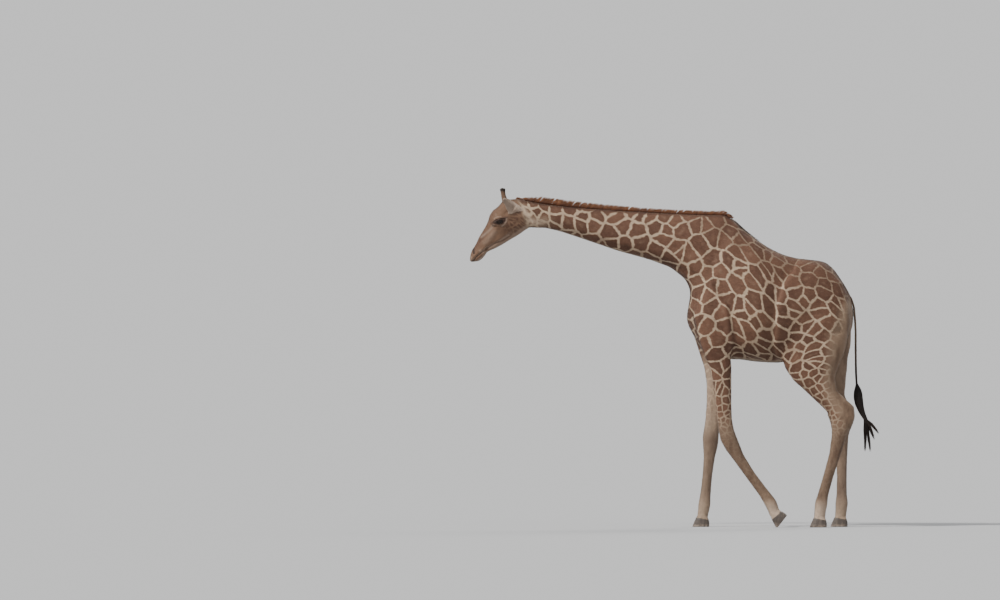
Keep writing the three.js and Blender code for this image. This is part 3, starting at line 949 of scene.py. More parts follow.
SWELLS = {
    "shoulders": (
        Swell(
            ((0.41, 0.49), (0.5, 0.43), (0.585, 0.39), (0.603, 0.304), (0.635, 0.215), (0.66, 0.142),
             (0.665, 0.03)), 0.01, -0.03, 0.08,
        ),  # rear edge of the upper arm
        Swell(((0.52, 0.36), (0.54, 0.27), (0.57, 0.18)), 0.03, 0.006),  # triceps
        Swell(((0.36, 0.36), (0.46, 0.22)), 0.045, -0.008),
        Swell(((0.74, 0.92), (0.511, 0.7), (0.3, 0.46)), 0.035, 0.004),  # ridge of the shoulder blade
        Swell(((0.86, 0.86), (0.66, 0.6)), 0.05, -0.008),
        Swell(((0.58, 0.93), (0.36, 0.66), (0.22, 0.5)), 0.05, -0.007),
        Swell(((0.1, 0.42), (0.16, 0.3), (0.3, 0.16)), 0.03, -0.008),  # beside the breast
    ),
    "hindquarters": (
        Swell(
            ((0.02, 0.9), (-0.17, 0.74), (-0.265, 0.56), (-0.287, 0.36), (-0.306, 0.18), (-0.28, 0.03)),
            0.09, -0.028, 0.01,
        ),  # the flank, in front of the thigh
        Swell(((0.33, 0.9), (0.47, 0.915)), 0.05, 0.004),  # hip bone
        Swell(((0.2, 0.8), (0.42, 0.72)), 0.06, -0.009),
        Swell(((0.55, 0.84), (0.8, 0.72)), 0.05, -0.008),
        Swell(((0.78, 0.6), (0.76, 0.35), (0.74, 0.1)), 0.04, -0.01),  # hamstring groove
        Swell(((0.3, 0.45), (0.42, 0.24), (0.55, 0.06)), 0.05, -0.006),
    ),
    "neck_lower": (
        Swell(((0.04, 0.44), (0.42, 0.33), (0.9, 0.12)), 0.022, -0.008),  # along the windpipe
        Swell(((0.25, 0.62), (0.62, 0.5), (0.98, 0.44)), 0.04, -0.006),
    ),
    "neck_middle": (Swell(((0.0, 0.5), (0.5, 0.28), (1.0, 0.1)), 0.02, -0.007),),
    "neck_upper": (Swell(((0.1, 0.45), (0.6, 0.28), (1.0, 0.2)), 0.016, -0.005),),
    "left_hind_thigh": (
        Swell(((0.55, 0.6), (0.7, 0.43), (0.82, 0.34)), 0.016, -0.01),  # before the tendon
        Swell(((0.42, 0.52), (0.58, 0.28), (0.66, 0.16)), 0.02, -0.004),
        Swell(((0.9, 0.24), (0.8, 0.13)), 0.014, -0.004),
    ),
    "left_hind_shank": (Swell(((0.74, 0.93), (0.52, 0.5), (0.4, 0.14)), 0.009, -0.005),),
    "right_hind_thigh": (
        Swell(((0.6, 0.55), (0.76, 0.42), (0.84, 0.34)), 0.016, -0.01),
        Swell(((0.5, 0.5), (0.62, 0.28), (0.68, 0.16)), 0.02, -0.004),
    ),
    "right_hind_shank": (Swell(((0.62, 0.93), (0.64, 0.5), (0.64, 0.14)), 0.009, -0.005),),
    "left_fore_forearm": (
        Swell(((0.52, 0.85), (0.56, 0.55), (0.6, 0.25)), 0.018, -0.005),
        Swell(((0.55, 0.16), (0.58, 0.02)), 0.014, -0.004),
    ),
    "left_fore_shank": (Swell(((0.18, 0.93), (0.52, 0.55), (0.88, 0.14)), 0.009, -0.005),),
    "right_fore_forearm": (Swell(((0.56, 0.85), (0.5, 0.55), (0.44, 0.25)), 0.018, -0.005),),
    "right_fore_shank": (Swell(((0.62, 0.93), (0.6, 0.5), (0.56, 0.14)), 0.009, -0.005),),
    "head": (
        # the lips, and what lies above and below them
        Swell(
            ((0.628, -0.012), (0.604, -0.02), (0.55, -0.018), (0.48, -0.027), (0.44, -0.036)), 0.006, -0.008,
        ),
        Swell(((0.57, -0.04), (0.5, -0.048)), 0.014, 0.003),
        Swell(((0.59, 0.004), (0.52, 0.0), (0.46, -0.01)), 0.012, 0.003),
        # below the cheek
        Swell(((0.455, -0.036), (0.361, -0.058), (0.301, -0.085), (0.235, -0.101)), 0.011, -0.007),
        Swell(((0.522, 0.05), (0.536, 0.04), (0.552, 0.019)), 0.0065, -0.012),  # nostril
        Swell(((0.508, 0.06), (0.528, 0.062), (0.566, 0.03)), 0.008, 0.004),
        Swell(((0.3, -0.02), (0.38, -0.035), (0.43, -0.028)), 0.022, -0.005),
        Swell(((0.258, 0.06), (0.35, 0.052), (0.44, 0.05)), 0.013, -0.005),
        Swell(((0.28, 0.02), (0.37, 0.014)), 0.014, 0.003),  # crest below the eye
        Swell(((0.115, 0.062),), 0.024, -0.007),  # temple
        Swell(((0.13, -0.02), (0.1, -0.08)), 0.014, -0.004),  # behind the cheek
    ),
}


@dataclass(frozen=True)
class Mark:
    """A stripe of one of the face's colours; some dark ones are painted shade."""

    path: Rows
    width: float
    share: float


DARK_MARKS = (
    # painted shade inside the nostril's slit
    Mark(((0.527, 0.048), (0.536, 0.04), (0.552, 0.019)), 0.008, 1.0),
    # the dark lip edges, with painted shade in the crease between the lips
    Mark(((0.63, -0.012), (0.604, -0.02), (0.55, -0.018), (0.48, -0.027)), 0.005, 0.75),
    Mark(((0.248, 0.078), (0.215, 0.078), (0.18, 0.058), (0.148, 0.03)), 0.007, 0.8),
    Mark(((0.15, 0.03), (0.128, 0.02)), 0.007, 0.5),
    Mark(((0.276, 0.066),), 0.005, 0.35),
    Mark(((0.312, 0.072),), 0.005, 0.35),
    Mark(((0.1, 0.06), (0.103, 0.022), (0.062, 0.01), (0.04, -0.02)), 0.009, 0.25),
)
PALE_MARKS = (
    Mark(((0.22, 0.096), (0.206, 0.097), (0.188, 0.088), (0.166, 0.068)), 0.0045, 0.26),
    Mark(((0.18, 0.114), (0.19, 0.104)), 0.006, 0.1),
    Mark(((0.218, 0.006), (0.19, 0.001), (0.16, 0.008), (0.147, 0.022)), 0.006, 0.36),
    Mark(((0.262, 0.066), (0.297, 0.06), (0.343, 0.06), (0.405, 0.068)), 0.01, 0.28),
    Mark(((0.3, 0.016), (0.36, 0.01), (0.42, 0.012)), 0.022, 0.16),
    Mark(((0.43, -0.046), (0.36, -0.074), (0.312, -0.1), (0.213, -0.124)), 0.016, 0.25),
    Mark(((0.5, -0.006), (0.488, -0.034)), 0.012, 0.3),
    Mark(((0.6, 0.01), (0.62, 0.0)), 0.014, 0.2),
    Mark(((-0.022, -0.007), (0.016, -0.126), (-0.023, -0.215)), 0.014, 0.35),
)
THROAT_MARKS = (
    Mark(((-0.01, -0.02), (0.02, -0.126), (-0.015, -0.2), (-0.07, -0.245)), 0.035, 1.0),
    Mark(((-0.07, -0.245), (-0.16, -0.31)), 0.03, 0.8),
)
BROWN_MARKS = (
    Mark(((0.37, 0.072), (0.471, 0.054), (0.536, 0.046)), 0.022, 0.75),
    Mark(((0.455, -0.034), (0.361, -0.056), (0.301, -0.083), (0.235, -0.099)), 0.009, 0.7),
    Mark(((0.02, 0.15), (0.12, 0.16), (0.24, 0.14), (0.34, 0.1), (0.48, 0.065)), 0.03, 0.5),
    Mark(((0.252, 0.082), (0.203, 0.052), (0.15, 0.026)), 0.021, 0.9),
    Mark(((0.245, 0.012), (0.17, -0.022), (0.13, -0.01)), 0.014, 0.5),
    Mark(((0.575, -0.045), (0.53, -0.05)), 0.016, 0.4),
)
LID_FOLDS = (
    (0.0024, 1.38, 0.25, True), (-0.0036, 2.0, 0.2, True), (0.0012, 1.2, 0.15, False),
    (-0.0018, 1.75, 0.25, False), (0.003, 2.6, 0.3, True),
)  # height, how many openings out, width, and whether above the eye
PLAIN_EDGE = (
    (0.8, 0.54), (0.73, 0.37), (0.6, 0.24), (0.585, 0.03), (0.52, -0.18), (0.545, -0.35), (0.69, -0.47),
)
SADDLE_EDGE = ((0.0, 2.6), (0.42, 2.4), (0.8, 2.12), (1.36, 1.93), (1.5, 1.85))
JOINT_SPOTS = {
    "left_hind_thigh": ((0.62, 0.28), (0.76, 0.17)),
    "right_hind_thigh": ((0.66, 0.28), (0.78, 0.17)),
    "left_fore_forearm": ((0.45, 0.06),),
    "right_fore_forearm": ((0.75, 0.07), (0.85, 0.0)),
}


@dataclass
class Skin:
    """The one skin: body and head are remeshed, joined in a ring round the upper neck, shaped and mapped."""

    solids: Solids
    head: Head
    ears: list[Ear]
    legs: list[Leg]
    hide: HideMap
    body_cell: float = 0.0156
    head_cell: float = 0.0054
    tail_cell: float = 0.006
    overlap: float = 0.0012
    ring: float = 0.3
    hem: float = 0.013
    coat_depth: float = 0.004
    net_half: float = 0.0092
    eye_half: float = 0.0265
    eye_tilt: float = 0.2
    eye_drop: float = 0.0055
    upper_lid: float = 0.0125
    lower_lid: float = 0.0115
    tail_dive: float = 0.03
    dock_height: float = 0.005
    ear_hollow: float = 0.013
    ear_leaf: float = 0.0042
    mesh: Mesh = field(init=False)
    owner: Array = field(init=False)
    lie: Array = field(init=False)
    chart: Array = field(init=False)
    # cup: how far into an ear's hollow each vertex lies; the painted shade there follows it
    cup: Array = field(init=False)

    head_nodes = ["head", "lower_jaw", *EARS]

    def flesh(self) -> list[str]:
        """The solids that the skin replaces."""
        legs = [name for leg in self.legs for name in leg.nodes]
        return [*self.head_nodes, *self.hide.trunk_nodes, *legs, "tail"]

    def remeshed(self, names: list[str], cell: float) -> Mesh:
        """Runs solids together into one even mesh."""
        mesh = self.solids.merged(names, self.overlap)
        piece = placed("remesh", mesh)
        modifier = piece.modifiers.new("remesh", "REMESH")
        modifier.mode = "VOXEL"
        modifier.voxel_size = cell
        graph = bpy.context.evaluated_depsgraph_get()
        made = bpy.data.meshes.new_from_object(piece.evaluated_get(graph))
        bpy.data.objects.remove(piece)
        bpy.data.meshes.remove(mesh)
        return made

    def on(self, *names: str) -> Array:
        """Whether each vertex belongs to one of these solids."""
        return np.isin(self.owner, names)

    def relaxed(self, mesh: Mesh, passes: int, share: Array | float = 0.5) -> None:
        """Rounds off facets and creases, and gives thin limbs back the depth that this takes."""
        relaxer, before = Relaxer(mesh), places(mesh)
        after = relaxer.smooth(before, passes, share)
        move_to(mesh, after)
        outward = normals(mesh)
        lost = ((before - after) * outward).sum(1, keepdims=True)
        move_to(mesh, after + outward * relaxer.smooth(lost, passes, share))

    def build(self) -> Piece:
        """Makes the skin."""
        feet = [name for leg in self.legs for name in leg.claws]
        trunk = [n for n in self.flesh() if n not in self.head_nodes and n != "tail"]
        body = self.remeshed(trunk + feet, self.body_cell)
        self.relaxed(body, 30, 0.5 * self.stoutness(places(body))[:, None])
        head = self.remeshed([*self.head_nodes, "neck_upper"], self.head_cell)
        self.relaxed(head, 9)
        tail = self.remeshed(["tail"], self.tail_cell)
        self.relaxed(tail, 4)
        root = places(tail)
        root[:, 0] -= self.tail_dive * ramp(1.96, 2.03, root[:, 2])
        move_to(tail, root)
        self.mesh = self.bridged(body, head, tail)
        self.refine_eyes()
        self.shape()
        self.map()
        self.mesh.shade_smooth()
        return placed("skin", self.mesh)

    def stoutness(self, points: Array) -> Array:
        """How much smoothing the body stands: all on the trunk, little on the shanks."""
        x, _, z = points.T
        trunk = ramp(1.15, 1.75, z) * ramp(-0.6, 0.1, x)
        thigh = ramp(0.95, 1.2, z) * ramp(0.7, 0.9, x)
        return np.clip(0.1 + 0.9 * trunk + 0.3 * ramp(-0.3, -0.7, x) + 0.35 * thigh, 0, 1)

    def hemmed(self, body: bmesh.types.BMesh) -> None:
        """Refines the feet, and cuts and closes them a little below each coronet, over the claws."""
        low = [face for face in body.faces if face.calc_center_median().z < 0.32]
        edges = list(dict.fromkeys(edge for face in low for edge in face.edges))
        bmesh.ops.subdivide_edges(body, edges=edges, cuts=1, use_grid_fill=True, smooth=0.7)
        for leg in self.legs:
            middle, upward = Vector(leg.coronet), Vector(leg.upward)
            near = [face for face in body.faces if (face.calc_center_median() - middle).length < 0.16]
            edges = dict.fromkeys(edge for face in near for edge in face.edges)
            corners = dict.fromkeys(vertex for face in near for vertex in face.verts)
            cut = bmesh.ops.bisect_plane(
                body, geom=[*near, *edges, *corners], plane_co=middle - upward * self.hem, plane_no=-upward,
                clear_outer=True,
            )
            rim = [item for item in cut["geom_cut"] if isinstance(item, bmesh.types.BMEdge)]
            bmesh.ops.holes_fill(body, edges=rim, sides=0)

    def bridged(self, body: Mesh, head: Mesh, tail: Mesh) -> Mesh:
        """Cuts body and head across the upper neck and bridges the ring between them.

        Args:
            body: The neck, trunk and legs.
            head: The head and the upper neck.
            tail: The tail, whose root stays inside the body.

        Returns:
            One mesh.
        """
        low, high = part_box("neck_upper")
        back, front = low.lerp(high, self.ring), low.lerp(high, self.ring - 0.02)
        whole = bmesh.new()
        for mesh, place, keep in ((body, back, 1), (head, front, -1)):
            part = bmesh.new()
            part.from_mesh(mesh)
            if mesh is body:
                self.hemmed(part)
            every = [*part.verts, *part.edges, *part.faces]
            aim = Vector((-keep, 0, 0))
            bmesh.ops.bisect_plane(part, geom=every, plane_co=place, plane_no=aim, clear_outer=True)
            cut = written(part, "cut")
            whole.from_mesh(cut)
            bpy.data.meshes.remove(cut)
        bmesh.ops.bridge_loops(whole, edges=[edge for edge in whole.edges if edge.is_boundary])
        whole.from_mesh(tail)
        bmesh.ops.triangulate(whole, faces=[face for face in whole.faces if len(face.verts) > 4])
        bmesh.ops.recalc_face_normals(whole, faces=whole.faces)
        mesh = written(whole, "skin")
        points = places(mesh)
        near = 0.5 * ramp(0.035, 0.012, np.abs(points[:, 0] - back.lerp(front, 0.5).x)) * (points[:, 2] > 2)
        move_to(mesh, Relaxer(mesh).smooth(points, 12, near[:, None]))
        return mesh

    def refine_eyes(self) -> None:
        """Divides the faces round the eyes, for the lids."""
        fine = bmesh.new()
        fine.from_mesh(self.mesh)
        for reach in (0.056, 0.042):
            edges = {}
            for side in Side:
                eye = Vector((self.head.eye[0], abs(self.head.eye[1]) * side.value, self.head.eye[2]))
                near = [face for face in fine.faces if (face.calc_center_median() - eye).length < reach]
                edges.update(dict.fromkeys(edge for face in near for edge in face.edges))
            bmesh.ops.subdivide_edges(fine, edges=list(edges), cuts=1, use_grid_fill=True, smooth=0.6)
        bmesh.ops.triangulate(fine, faces=[face for face in fine.faces if len(face.verts) > 4])
        fine.to_mesh(self.mesh)
        fine.free()

    def eye_place(self, points: Array) -> tuple[Array, Array, Array]:
        """How far points lie back and up from the nearer eye, and how many openings out from its middle."""
        back = points[:, 0] - self.head.eye[0]
        up = points[:, 2] - self.head.eye[2] + self.eye_drop - back * self.eye_tilt
        out = np.hypot(back / self.eye_half, up / np.where(up > 0, self.upper_lid, self.lower_lid))
        return back, up, np.where(np.abs(points[:, 1]) > 0.05, out, 99)

    def eye_surface(self, back: Array, rise: Array) -> Array:
        """How far out the eyeball's front lies."""
        flat = np.hypot(back, rise)
        return abs(self.head.eye[1]) + np.sqrt(np.maximum(self.head.eye_radius**2 - flat**2, 0.006**2))

    def lids(self, points: Array) -> Array:
        """Sinks the opening of each eye behind the eyeball, and lays the lids over it."""
        back, up, out = self.eye_place(points)
        near = np.linalg.norm(points[:, [0, 2]] - self.head.eye[[0, 2]], axis=1) < 0.07
        outside = np.abs(points[:, 1])
        zone = near & (outside > 0.05) & (out < 3.2)
        ball = self.eye_surface(back, points[:, 2] - self.head.eye[2])
        margin = ball + 0.0016
        around = np.maximum(outside, ball + 0.0024)
        level = margin + (around - margin) * ramp(1.1, 2.0, out)
        for height, at, width, above in LID_FOLDS:
            level += height * bell(out - at, width) * ((up > 0) == above)
        sunk = abs(self.head.eye[1]) + self.head.eye_radius * 0.3
        level = np.where(out < 1.04, sunk + (level - sunk) * ramp(0.88, 1.04, out), level)
        shaped = outside + (level - outside) * ramp(3.1, 2.2, out)
        moved = points.copy()
        moved[zone, 1] = (np.sign(points[:, 1]) * shaped)[zone]
        return moved

    def hollows(self, points: Array, outward: Array) -> Array:
        """How far an ear's front sinks, leaving a thin leaf behind it."""
        depth, self.cup = np.zeros((2, len(points)))
        shell = BVHTree.FromPolygons(points.tolist(), [list(face.vertices) for face in self.mesh.polygons])
        for ear in self.ears:
            front = self.on(ear.name) & (outward @ ear.opening > 0.2)
            along, across = ear.read(points[front])
            room = 0.78 * np.sqrt(np.maximum(1 - np.clip(along, -1, 1) ** 2, 0)) + 0.05
            hollow = ramp(1.0, 0.4, np.abs(across + 0.05) / room)
            hollow *= ramp(-0.85, -0.4, along) * ramp(0.98, 0.7, along)
            aims = -outward[front]
            starts = points[front] + aims * 0.0005
            rays = zip(starts.tolist(), aims.tolist())
            room = np.array([shell.ray_cast(start, aim, 0.05)[3] or 0.0 for start, aim in rays])
            room -= self.ear_leaf
            self.cup[front] = hollow
            depth[front] = -np.minimum(self.ear_hollow, np.maximum(room, 0)) * hollow
        return depth

    def swollen(self, points: Array, outward: Array, node: str, swell: Swell) -> Array:
        """How far a swelling of a node would lift each vertex."""
        if node == "head":
            path, flat = np.array(swell.path), self.head.read(points)
        else:
            path, flat = self.solids.line(node, swell.path), points[:, [0, 2]]
        away = offset_from_path(flat, path)
        facing = ramp(0.1, 0.55, np.abs(outward[:, 1]))
        return swell.height * bell(away, np.where(away > 0, swell.left or swell.width, swell.width)) * facing

    def shape(self) -> None:
        """Sinks the skin by the coat's depth and gives it its muscles, bones, folds and lids."""
        points, outward = places(self.mesh), normals(self.mesh)
        x, y, z = points.T
        self.owner = owner = self.owners(points)
        owner[(owner == "tail") & (z > 1.98)] = "hindquarters"
        on_head, ears, trunk = self.on(*self.head_nodes), self.on(*EARS), self.on(*self.hide.trunk_nodes)
        depth = np.full(len(points), self.coat_depth)
        depth -= self.coat_depth * 0.5 * ramp(1.0, 0.7, z)
        depth[on_head] = self.coat_depth * 0.4
        depth[ears] = 0.001
        depth[owner == "tail"] = 0.002
        lift = -depth + self.hollows(points, outward)
        dock = ramp(2.14, 2.03, z) * ramp(1.9, 1.96, z) * (x > 1.38)
        lift += self.dock_height * dock * bell(y, 0.018) * trunk
        for node, swells in SWELLS.items():
            leg = np.char.startswith(owner, node.rsplit("_", 1)[0])
            mask = on_head & ~ears if node == "head" else trunk if node in self.hide.trunk_nodes else leg
            for swell in swells:
                lift += self.swollen(points, outward, node, swell) * mask
        lift = Relaxer(self.mesh).smooth(lift[:, None], 1)
        move_to(self.mesh, self.lids(points + outward * lift))

    def owners(self, points: Array) -> Array:
        """The solid nearest to each point."""
        corners, faces, names = [], [], []
        for name in self.flesh():
            start = sum(len(block) for block in corners)
            corners.append(self.solids.points[name])
            faces.extend((self.solids.triangles[name] + start).tolist())
            names.extend([name] * len(self.solids.triangles[name]))
        tree = BVHTree.FromPolygons(np.vstack(corners).tolist(), faces)
        return np.array([names[tree.find_nearest(point)[2]] for point in points.tolist()])

    def map(self) -> None:
        """Stores where vertices lie on the hide and what their coat is like."""
        points, outward = places(self.mesh), normals(self.mesh)
        relaxer = Relaxer(self.mesh)
        spot, size = self.hide.trunk(points)
        on_leg, angle = np.zeros((2, len(points)))
        for leg in self.legs:
            mine = np.sign(points[:, 1]) == leg.side.value
            middle_x, _, half_x, _ = leg.at(points[:, 2])
            close = ramp(1.35, 1.0, np.abs(points[:, 0] - middle_x) / half_x)
            close = np.where(self.on(*leg.nodes), 1, close)
            share = ramp(leg.join[1], leg.join[0], points[:, 2]) * close * leg.holds(points)
            share = relaxer.smooth(share[:, None], 12)[:, 0] * mine
            there, cell, turn = self.hide.leg(leg, points)
            here = share > 0
            spot[here] += ((there - spot) * share[:, None])[here]
            size = np.where(here, size + (cell - size) * share, size)
            angle = np.where(share > 0.3, turn, angle)
            on_leg = np.maximum(on_leg, share)
        on_head = relaxer.smooth(self.on(*self.head_nodes).astype(float)[:, None], 10)[:, 0]
        there, cell = self.hide.face(points)
        spot += (there - spot) * on_head[:, None]
        size += (cell - size) * on_head
        spot, density, torn = relaxer.laid_flat(points, outward, spot, size, 300)
        broad = (1 - 0.25 * self.saddle(points)) * (1 + 0.2 * ramp(0.1, -0.5, points[:, 0]))
        width = self.net_half * density * np.interp(size, (0.045, 0.12), (0.6, 1.0)) * broad
        width *= 1 - 0.96 * np.maximum(self.below_crest(points), on_head * (1 - self.cheek(points)))
        add_attribute(self.mesh, "hide", np.column_stack([spot, width]))
        tone = self.tone(points, outward, on_leg, angle, on_head)
        tone[:, 0] *= 1 - torn
        for name, values in (("tone", tone), ("mark", self.mark(points, on_leg, on_head))):
            add_attribute(self.mesh, name, relaxer.smooth(values, 1))
        add_attribute(self.mesh, "strand", np.full((len(points), 3), 0.5))
        self.lie = relaxer.smooth(self.lies(points, on_leg, on_head), 12)
        self.chart = self.charted(points, outward, spot)

    def charted(self, points: Array, outward: Array, spot: Array) -> Array:
        """The skin's unwrap: the hide laid flat, with the ears' two faces and the tail beside it."""
        chart = spot.copy()
        for ear in self.ears:
            mine = self.on(ear.name)
            along, across = ear.read(points[mine])
            front = outward[mine] @ ear.opening > 0
            chart[mine] = np.column_stack([along + 3 * (ear.side.value > 0), across + 3 * front])
        mine = self.on("tail")
        turn = np.arctan2(outward[mine, 1], outward[mine, 0])
        chart[mine] = np.column_stack([turn, points[mine, 2]])
        return chart

    def marks(self, points: Array, marks: tuple[Mark, ...]) -> Array:
        """How much of some marks lies at each vertex."""
        flat = self.head.read(points)
        away = [offset_from_path(flat, np.array(mark.path)) for mark in marks]
        return np.maximum.reduce([mark.share * bell(gap, mark.width) for mark, gap in zip(marks, away)])

    def tone(self, points: Array, outward: Array, on_leg: Array, angle: Array, on_head: Array) -> Array:
        """What the coat is like at each vertex.

        Args:
            points: The vertices.
            outward: Their normals.
            on_leg: How far each is on a leg.
            angle: Where round the leg, 0 on its outside.
            on_head: How far each is on the head.

        Returns:
            HideFinish's tone vectors.
        """
        x, side, z = points.T
        ears, tail = self.on(*EARS).astype(float), self.on("tail").astype(float)
        belly = ramp(-0.86, -0.99, outward[:, 2]) * ramp(1.75, 1.55, z) * self.on(*TRUNK)
        inner = ramp(0.15, -0.6, np.cos(angle)) * on_leg
        rump = ramp(0.45, 0.85, outward[:, 0]) * ramp(1.38, 1.52, x) * ramp(2.02, 1.85, z)
        low = ramp(1.02, 0.72, z) * on_leg
        patches = (1 - 0.75 * belly) * (1 - 0.6 * inner) * (1 - 0.85 * rump) * (1 - 0.75 * low)
        patches *= 1 - on_leg * ramp(0.34, 0.24, z)
        patches = np.maximum(patches * (1 - 0.88 * self.plain(points)), self.spots(points) * on_leg)
        near_head = ramp(-1.0, -1.15, x) * (z > 2)
        throat = 0.65 * self.marks(points, THROAT_MARKS) * near_head
        patches *= 1 - throat
        cheek = 0.7 * on_head * self.cheek(points)
        patches = np.maximum.reduce([patches * (1 - on_head), cheek, self.almond(points)])
        patches *= (1 - ears) * (1 - tail)
        pastern = ramp(0.26, 0.14, z) * (1 - 0.5 * inner) * np.where(side < 0, 0.5, 0.25)
        jaw = on_head * ramp(-0.35, -0.8, outward @ np.array([self.head.up[0], 0, self.head.up[1]]))
        drawn = self.marks(points, PALE_MARKS) * near_head * ramp(0.2, 0.5, np.abs(outward[:, 1]))
        pale = np.maximum.reduce([
            # the ears are pale, less so in their hollows, where that is painted shade
            0.35 * belly, 0.12 * inner, 0.1 * rump, pastern, (0.85 - 0.3 * self.cup) * ears, 0.3 * jaw,
            drawn * (self.eye_place(points)[2] > 1.2), 0.15 * throat,
        ])
        brown = self.marks(points, BROWN_MARKS) * on_head * (1 - ears)
        face = np.maximum(on_head, 0.9 * tail)
        return np.column_stack([np.clip(np.maximum(patches, brown), 0, 1), face, np.clip(pale, 0, 1)])

    def cheek(self, points: Array) -> Array:
        """The cheek, which has patches."""
        along, up = self.head.read(points).T
        return ramp(0.28, 0.17, along) * ramp(0.03, -0.02, up) * ramp(-0.16, -0.12, up)

    def almond(self, points: Array) -> Array:
        """The dark almond round the eye."""
        back, up, ring = self.eye_place(points)
        return ramp(1.3, 0.8, np.hypot((back - 0.004) / 0.05, up / 0.022)) * (ring < 9)

    def spots(self, points: Array) -> Array:
        """The dark spots by the knees and hocks."""
        best = np.zeros(len(points))
        for node, path in JOINT_SPOTS.items():
            near = bell(offset_from_path(points[:, [0, 2]], self.solids.line(node, path)), 0.026)
            best = np.maximum(best, near * (np.sign(points[:, 1]) == (1 if node.startswith("right") else -1)))
        return best * 0.8

    def saddle(self, points: Array) -> Array:
        """The upper back and withers, where the net is dim."""
        x, _, z = points.T
        lower = np.interp(x, *zip(*SADDLE_EDGE))
        return ramp(-0.06, 0.12, z - lower) * ramp(-0.3, 0.45, x)

    def below_crest(self, points: Array) -> Array:
        """The dark band right below the mane."""
        x, _, z = points.T
        return ramp(0.034, 0.016, at_rows(self.hide.spine, x, 1)[0] - z) * ramp(0.56, 0.5, x) * (z > 2)

    def plain(self, points: Array) -> Array:
        """The plain rear of the thighs."""
        edge = self.solids.line("hindquarters", PLAIN_EDGE)
        behind = ramp(-0.05, 0.09, offset_from_path(points[:, [0, 2]], edge))
        return behind * ramp(1.98, 1.84, points[:, 2]) * (points[:, 0] > 1.1)

    def mark(self, points: Array, on_leg: Array, on_head: Array) -> Array:
        """HideFinish's mark vectors."""
        x, _, z = points.T
        ears = self.on(*EARS)
        _, up, ring = self.eye_place(points)
        rim = np.maximum(ring < 1, bell(ring - 1.0, np.where(up > 0, 0.5, 0.35)))
        rim = np.maximum(rim, 0.7 * self.almond(points))
        shank = on_leg * ramp(0.98, 0.8, z) * ramp(0.2, 0.36, z)
        # dark: the skin's own dark parts, and painted shade in the nostrils, the lip crease and the ears'
        # hollows
        dark = np.maximum.reduce([
            0.2 * shank, np.maximum(rim, self.marks(points, DARK_MARKS)) * on_head * ~ears,
            0.3 * self.below_crest(points), self.on("tail") * (0.25 + 0.75 * ramp(1.6, 1.25, z)),
            # painted shade deep in each ear's hollow, near its root
            0.15 * ears * self.cup * ramp(0.04, 0.0, x + 1.39),
        ])
        tan = np.maximum.reduce([
            ramp(1.02, 0.72, z) * on_leg * (1 - 0.4 * ramp(0.28, 0.14, z)), self.plain(points),
            0.75 * self.saddle(points), 0.5 * on_leg * ramp(1.4, 1.0, z),
        ])
        return np.column_stack([dark, tan, np.clip(on_leg + 0.35 * self.on(*TRUNK), 0, 1)])

    def lies(self, points: Array, on_leg: Array, on_head: Array) -> Array:
        """The way the coat lies."""
        lie = np.tile((1.0, 0.0, -0.25), (len(points), 1))
        for leg in self.legs:
            mine = (on_leg > 0) & leg.holds(points)
            heights = points[mine, 2]
            slope = (leg.at(heights + 0.02)[0] - leg.at(heights - 0.02)[0]) / 0.04
            down = unit(np.column_stack([-slope, np.zeros(mine.sum()), -np.ones(mine.sum())]))
            share = on_leg[mine, None]
            lie[mine] = lie[mine] * (1 - share) + down * share
        upward = np.array([-self.head.along[0], 0, -self.head.along[1]])
        lie = lie * (1 - on_head[:, None]) + upward * on_head[:, None]
        for ear in self.ears:
            lie[self.on(ear.name)] = ear.axis
        lie[self.on("tail")] = (0, 0, -1)
        return lie


# ---- Hair ----


